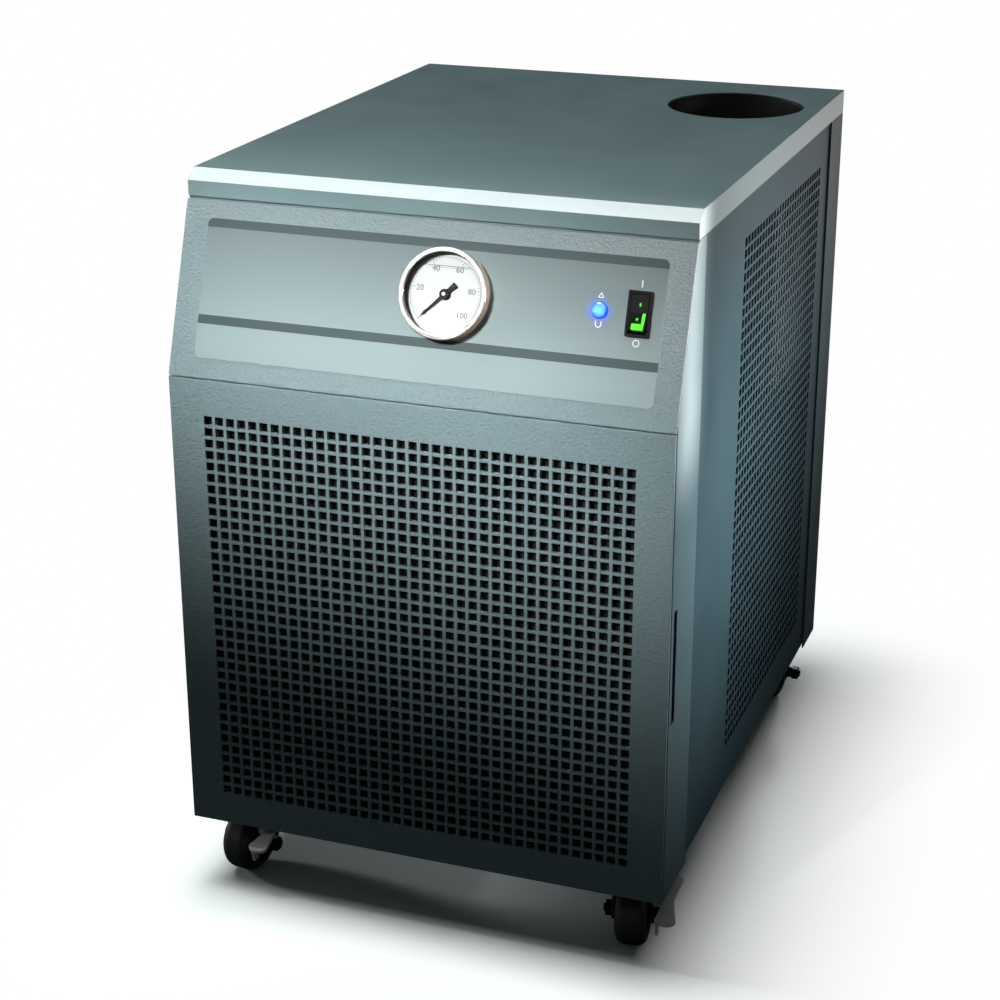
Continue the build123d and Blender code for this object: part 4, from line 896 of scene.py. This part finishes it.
# Hub cap over the pointer: a black turned cap with an ivory disc on it
hub = {"base": 0.0047, "radius": 0.0036, "tipShare": 0.86, "height": 0.0016}
pivot = {"radius": 0.0013, "tipShare": 0.8, "height": 0.0002}
hubMiddle = hub["base"] + hub["height"] / 2
pivotMiddle = hub["base"] + hub["height"] + pivot["height"] / 2
bm = bmesh.new()
onHub = slopePlace @ Matrix.Translation((gaugeX, gaugeUp, hubMiddle))
turnedCone(bm, hub["radius"], hub["tipShare"], hub["height"], 40, onHub)
finishPiece(bm, "pointerHub", "pointer", "blackLacquer")
bm = bmesh.new()
onPivot = slopePlace @ Matrix.Translation((gaugeX, gaugeUp, pivotMiddle))
turnedCone(bm, pivot["radius"], pivot["tipShare"], pivot["height"], 32, onPivot)
finishPiece(bm, "pointerPivot", "pointer", "ivoryPivot")

# Cross recesses in the six screws down the sides of the rear panel
recess = {"headRadius": 0.0036, "length": 0.0042, "width": 0.0009, "depth": 0.00012, "turn": 0.4}
low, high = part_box("rear_screws")
bm = bmesh.new()
for x in (low.x + recess["headRadius"], high.x - recess["headRadius"]):
    for z in (low.z + recess["headRadius"], (low.z + high.z) / 2, high.z - recess["headRadius"]):
        for turn in (recess["turn"], recess["turn"] + math.pi / 2):
            bmesh.ops.create_cube(
                bm,
                size=1.0,
                matrix=Matrix.Translation((x, high.y - recess["depth"] / 4, z))
                @ Matrix.Rotation(turn, 4, "Y")
                @ Matrix.Diagonal((recess["length"], recess["depth"], recess["width"], 1)),
            )
finishPiece(bm, "screwRecesses", "cabinet", "blackenedSteel")

# Level of the damping liquid behind the glass: its surface and the edge of its film on the dial
liquid = {"up": 0.0188, "width": 0.0335, "filmUp": 0.0177, "filmWidth": 0.0290, "line": 0.00045, "height": 0.0033}
bm = bmesh.new()
bar(bm, liquid["width"], liquid["line"], gaugeX, gaugeUp + liquid["up"])
bar(bm, liquid["filmWidth"], liquid["line"] / 2, gaugeX, gaugeUp + liquid["filmUp"])
bm.transform(slopePlace @ Matrix.Translation((0, 0, liquid["height"])))
finishPiece(bm, "liquidLine", "cabinet", "greyLiquidEdge")

# White marks on the film: a stroke over the switch and a ring under it, a cup under the lamp
# and a triangle over it
marks = {
    "height": 0.00056,
    "strokeX": 0.1502,
    "stroke": {"width": 0.0007, "height": 0.0046, "up": 0.0945},
    "ring": {"radius": 0.0021, "x": 0.1503, "up": 0.0557},
    "line": 0.0006,
    "cup": {"radius": 0.0019, "up": 0.0656, "sideHeight": 0.0022, "sideUp": 0.0667},
    "triangle": {"side": 0.0034, "line": 0.0005, "up": 0.0848, "lean": 0.0009, "drop": 0.00155},
}
stroke, ring, cup, triangle = (marks[key] for key in ("stroke", "ring", "cup", "triangle"))
lampX = controls["lampX"]
bm = bmesh.new()
bar(bm, stroke["width"], stroke["height"], marks["strokeX"], stroke["up"])
ringMark(bm, ring["radius"], marks["line"], ring["x"], ring["up"])
ringMark(bm, cup["radius"], marks["line"], lampX, cup["up"], 180.0, 360.0, 24)
for side in (-1, 1):
    bar(bm, marks["line"], cup["sideHeight"], lampX + side * cup["radius"], cup["sideUp"])
for turn, dx, dy in ((60.0, -triangle["lean"], 0.0), (-60.0, triangle["lean"], 0.0), (0.0, 0.0, -triangle["drop"])):
    bar(bm, triangle["side"], triangle["line"], lampX + dx, triangle["up"] + dy, math.radians(turn))
bm.transform(slopePlace @ Matrix.Translation((0, 0, marks["height"])))
finishPiece(bm, "overlayMarks", "cabinet", "whitePrintedInk")
print("gauge and marks made")


# Rays that see the white room: the camera's, and those that pass through the glass
def seenFactor(tree, path):
    return maths(tree, "MAXIMUM", path.outputs["Is Camera Ray"], path.outputs["Is Transmission Ray"])


# The pale floor turns white away from the cabinet, and near the footprint its colour darkens, a
# painted contact shadow. It shows paler to the eye than it lights the cabinet, so the cabinet's
# skirt stays dark.
floor = {
    "shader": {"Roughness": 0.32, "Specular IOR Level": 0.2},
    "middle": (0.0, -0.05, 0.0),
    "footprint": (0.16, 0.2475, 0.0),  # half the caster base, within which the floor is darkest, from real shadow and painted shadow
    "whiteFrom": 0.22,  # distance from the footprint at which the floor is white, in metres
    "mirrored": (1.2, 2.6),
    # Painted contact shadow: the floor's colour runs from the dark tone to the pale one over these distances from the
    # footprint
    "shade": (-0.05, 0.07),
    "paintedShadowTones": ((0.35, 0.43, 0.43, 1.0), (2.5, 2.78, 2.74, 1.0)),
    "unseen": "#4c5252",
    "halfSize": 9.0,
}


def floorMaterial(name):
    material, tree, shader, place = newMaterial(name, floor["shader"])
    away = vectorMaths(tree, "DISTANCE", place, floor["middle"])
    beside = vectorMaths(tree, "SUBTRACT", vectorMaths(tree, "ABSOLUTE", place), floor["footprint"])
    beside = vectorMaths(tree, "LENGTH", vectorMaths(tree, "MAXIMUM", beside, (0.0, 0.0, 0.0)))
    rest = mapped(tree, beside, (0.0, floor["whiteFrom"]), (1.0, 0.0))
    far = maths(tree, "SUBTRACT", 1.0, maths(tree, "MULTIPLY", rest, rest))
    mirrored = mapped(tree, away, floor["mirrored"], interpolation="SMOOTHSTEP")
    path = addNode(tree, "ShaderNodeLightPath")
    seen = seenFactor(tree, path)
    direct = maths(tree, "MULTIPLY", far, seen)
    glossy = maths(tree, "MULTIPLY", mirrored, path.outputs["Is Glossy Ray"])
    # Painted contact shadow on the floor near the footprint
    shade = mapped(tree, beside, floor["shade"], interpolation="SMOOTHSTEP")
    pale = blended(tree, seen, toLinear(floor["unseen"]), blended(tree, shade, *floor["paintedShadowTones"]))
    tree.links.new(pale, shader.inputs["Base Color"])
    white = addNode(tree, "ShaderNodeEmission", {"Color": (1, 1, 1, 1), "Strength": 1.0}).outputs["Emission"]
    mix = addNode(
        tree,
        "ShaderNodeMixShader",
        links={0: maths(tree, "MAXIMUM", direct, glossy), 1: shader.outputs["BSDF"], 2: white},
    )
    tree.links.new(mix.outputs["Shader"], tree.nodes["Material Output"].inputs["Surface"])
    return material


bm = bmesh.new()
bmesh.ops.create_grid(bm, x_segments=4, y_segments=4, size=floor["halfSize"])
meshObject(bm, "studioFloor", floorMaterial("paleStudioFloor"))

# Dark flags round the cabinet, seen only in reflections, keep its faces from mirroring the white room
flagCloth, tree, shader, place = newMaterial("blackFlagCloth", {"Roughness": 1.0, "Specular IOR Level": 0.0})
shader.inputs["Base Color"].default_value = toLinear("#181a1a")
flags = {
    "backFlag": {"at": (0, 1.7, 1.55), "turn": 0, "half": (3.0, 1.2)},
    "frontFlag": {"at": (0, -2.6, 1.2), "turn": 0, "half": (3.0, 1.3)},
    "rightFlag": {"at": (3.0, -0.4, 1.2), "turn": 90, "half": (2.2, 1.3)},
}
for name, flag in flags.items():
    upright = Matrix.Rotation(math.radians(flag["turn"]), 4, "Z") @ Matrix.Rotation(math.radians(90), 4, "X")
    hungPlace = Matrix.Translation(flag["at"]) @ upright @ Matrix.Diagonal((*flag["half"], 1, 1))
    bm = bmesh.new()
    bmesh.ops.create_grid(bm, x_segments=1, y_segments=1, size=1.0, matrix=hungPlace)
    hung = meshObject(bm, name, flagCloth)
    hung.visible_camera = False
    hung.visible_diffuse = False
    hung.visible_shadow = False
    hung.visible_transmission = False

# The room is white to the camera and in reflections, and gives the cabinet only a little light
room = {"diffuse": 0.035, "seen": 1.0}
world = bpy.data.worlds.new("studio")
bpy.context.scene.world = world
world.use_nodes = True
tree = world.node_tree
path = addNode(tree, "ShaderNodeLightPath")
seen = maths(tree, "MAXIMUM", seenFactor(tree, path), path.outputs["Is Glossy Ray"])
background = tree.nodes["Background"]
background.inputs["Color"].default_value = (1, 1, 1, 1)
tree.links.new(mapped(tree, seen, toRange=(room["diffuse"], room["seen"])), background.inputs["Strength"])

# Soft boxes: where each stands, what it looks at, its size in metres, its power in watts
# and its spread in degrees
softBoxes = {
    "overhead": {
        "at": (-0.80, -0.15, 2.6),
        "to": (-0.05, -0.05, 0.5),
        "size": (0.34, 1.6),
        "power": 28.0,
        "spread": 180,
    },
    "fasciaLight": {
        "at": (-0.45, -1.5, 1.3),
        "to": (-0.03, -0.26, 0.445),
        "size": (0.42, 0.17),
        "power": 0.62,
        "spread": 13,
    },
    "cheekLight": {"at": (1.7, 0.05, 0.7), "to": (0.184, -0.08, 0.34), "size": (0.3, 0.2), "power": 0.7, "spread": 17},
    "stripLight": {
        "at": (0.85, -0.226, 0.53),
        "to": (0.184, -0.226, 0.47),
        "size": (0.03, 0.2),
        "power": 0.2,
        "spread": 8,
        "tint": (1.0, 0.78, 0.70),
    },
    "leftFill": {"at": (-1.9, 0.1, 0.5), "to": (-0.184, 0.0, 0.34), "size": (0.4, 0.3), "power": 1.2, "spread": 24},
    "backFill": {"at": (-0.1, 2.1, 0.45), "to": (0.0, 0.25, 0.34), "size": (0.4, 0.2), "power": 1.4, "spread": 20},
}
for name, box in softBoxes.items():
    light = bpy.data.lights.new(name, "AREA")
    light.shape = "RECTANGLE"
    light.size, light.size_y = box["size"]
    light.energy = box["power"]
    light.spread = math.radians(box["spread"])
    light.color = box.get("tint", (1.0, 1.0, 1.0))
    lamp = bpy.data.objects.new(name, light)
    lamp.location = box["at"]
    lamp.rotation_euler = (Vector(box["to"]) - Vector(box["at"])).to_track_quat("-Z", "Y").to_euler()
    bpy.context.scene.collection.objects.link(lamp)

view = {
    "at": (0.52796, -1.52938, 0.87005),
    "right": (0.939112, 0.343610, -0.000393),
    "down": (0.124072, -0.340166, -0.932144),
    "forward": (-0.320428, 0.875339, -0.362086),
    "lens": 77.53,
}
cameraData = bpy.data.cameras.new("photoCamera")
cameraData.lens = view["lens"]
cameraData.sensor_width = 36.0
cameraData.clip_end = 60.0
camera = bpy.data.objects.new("photoCamera", cameraData)
turned = Matrix((view["right"], [-v for v in view["down"]], [-v for v in view["forward"]])).transposed().to_4x4()
camera.matrix_world = Matrix.Translation(view["at"]) @ turned
bpy.context.scene.collection.objects.link(camera)
bpy.context.scene.camera = camera
bpy.context.scene.view_settings.view_transform = "Standard"
print("stage, light and camera set")
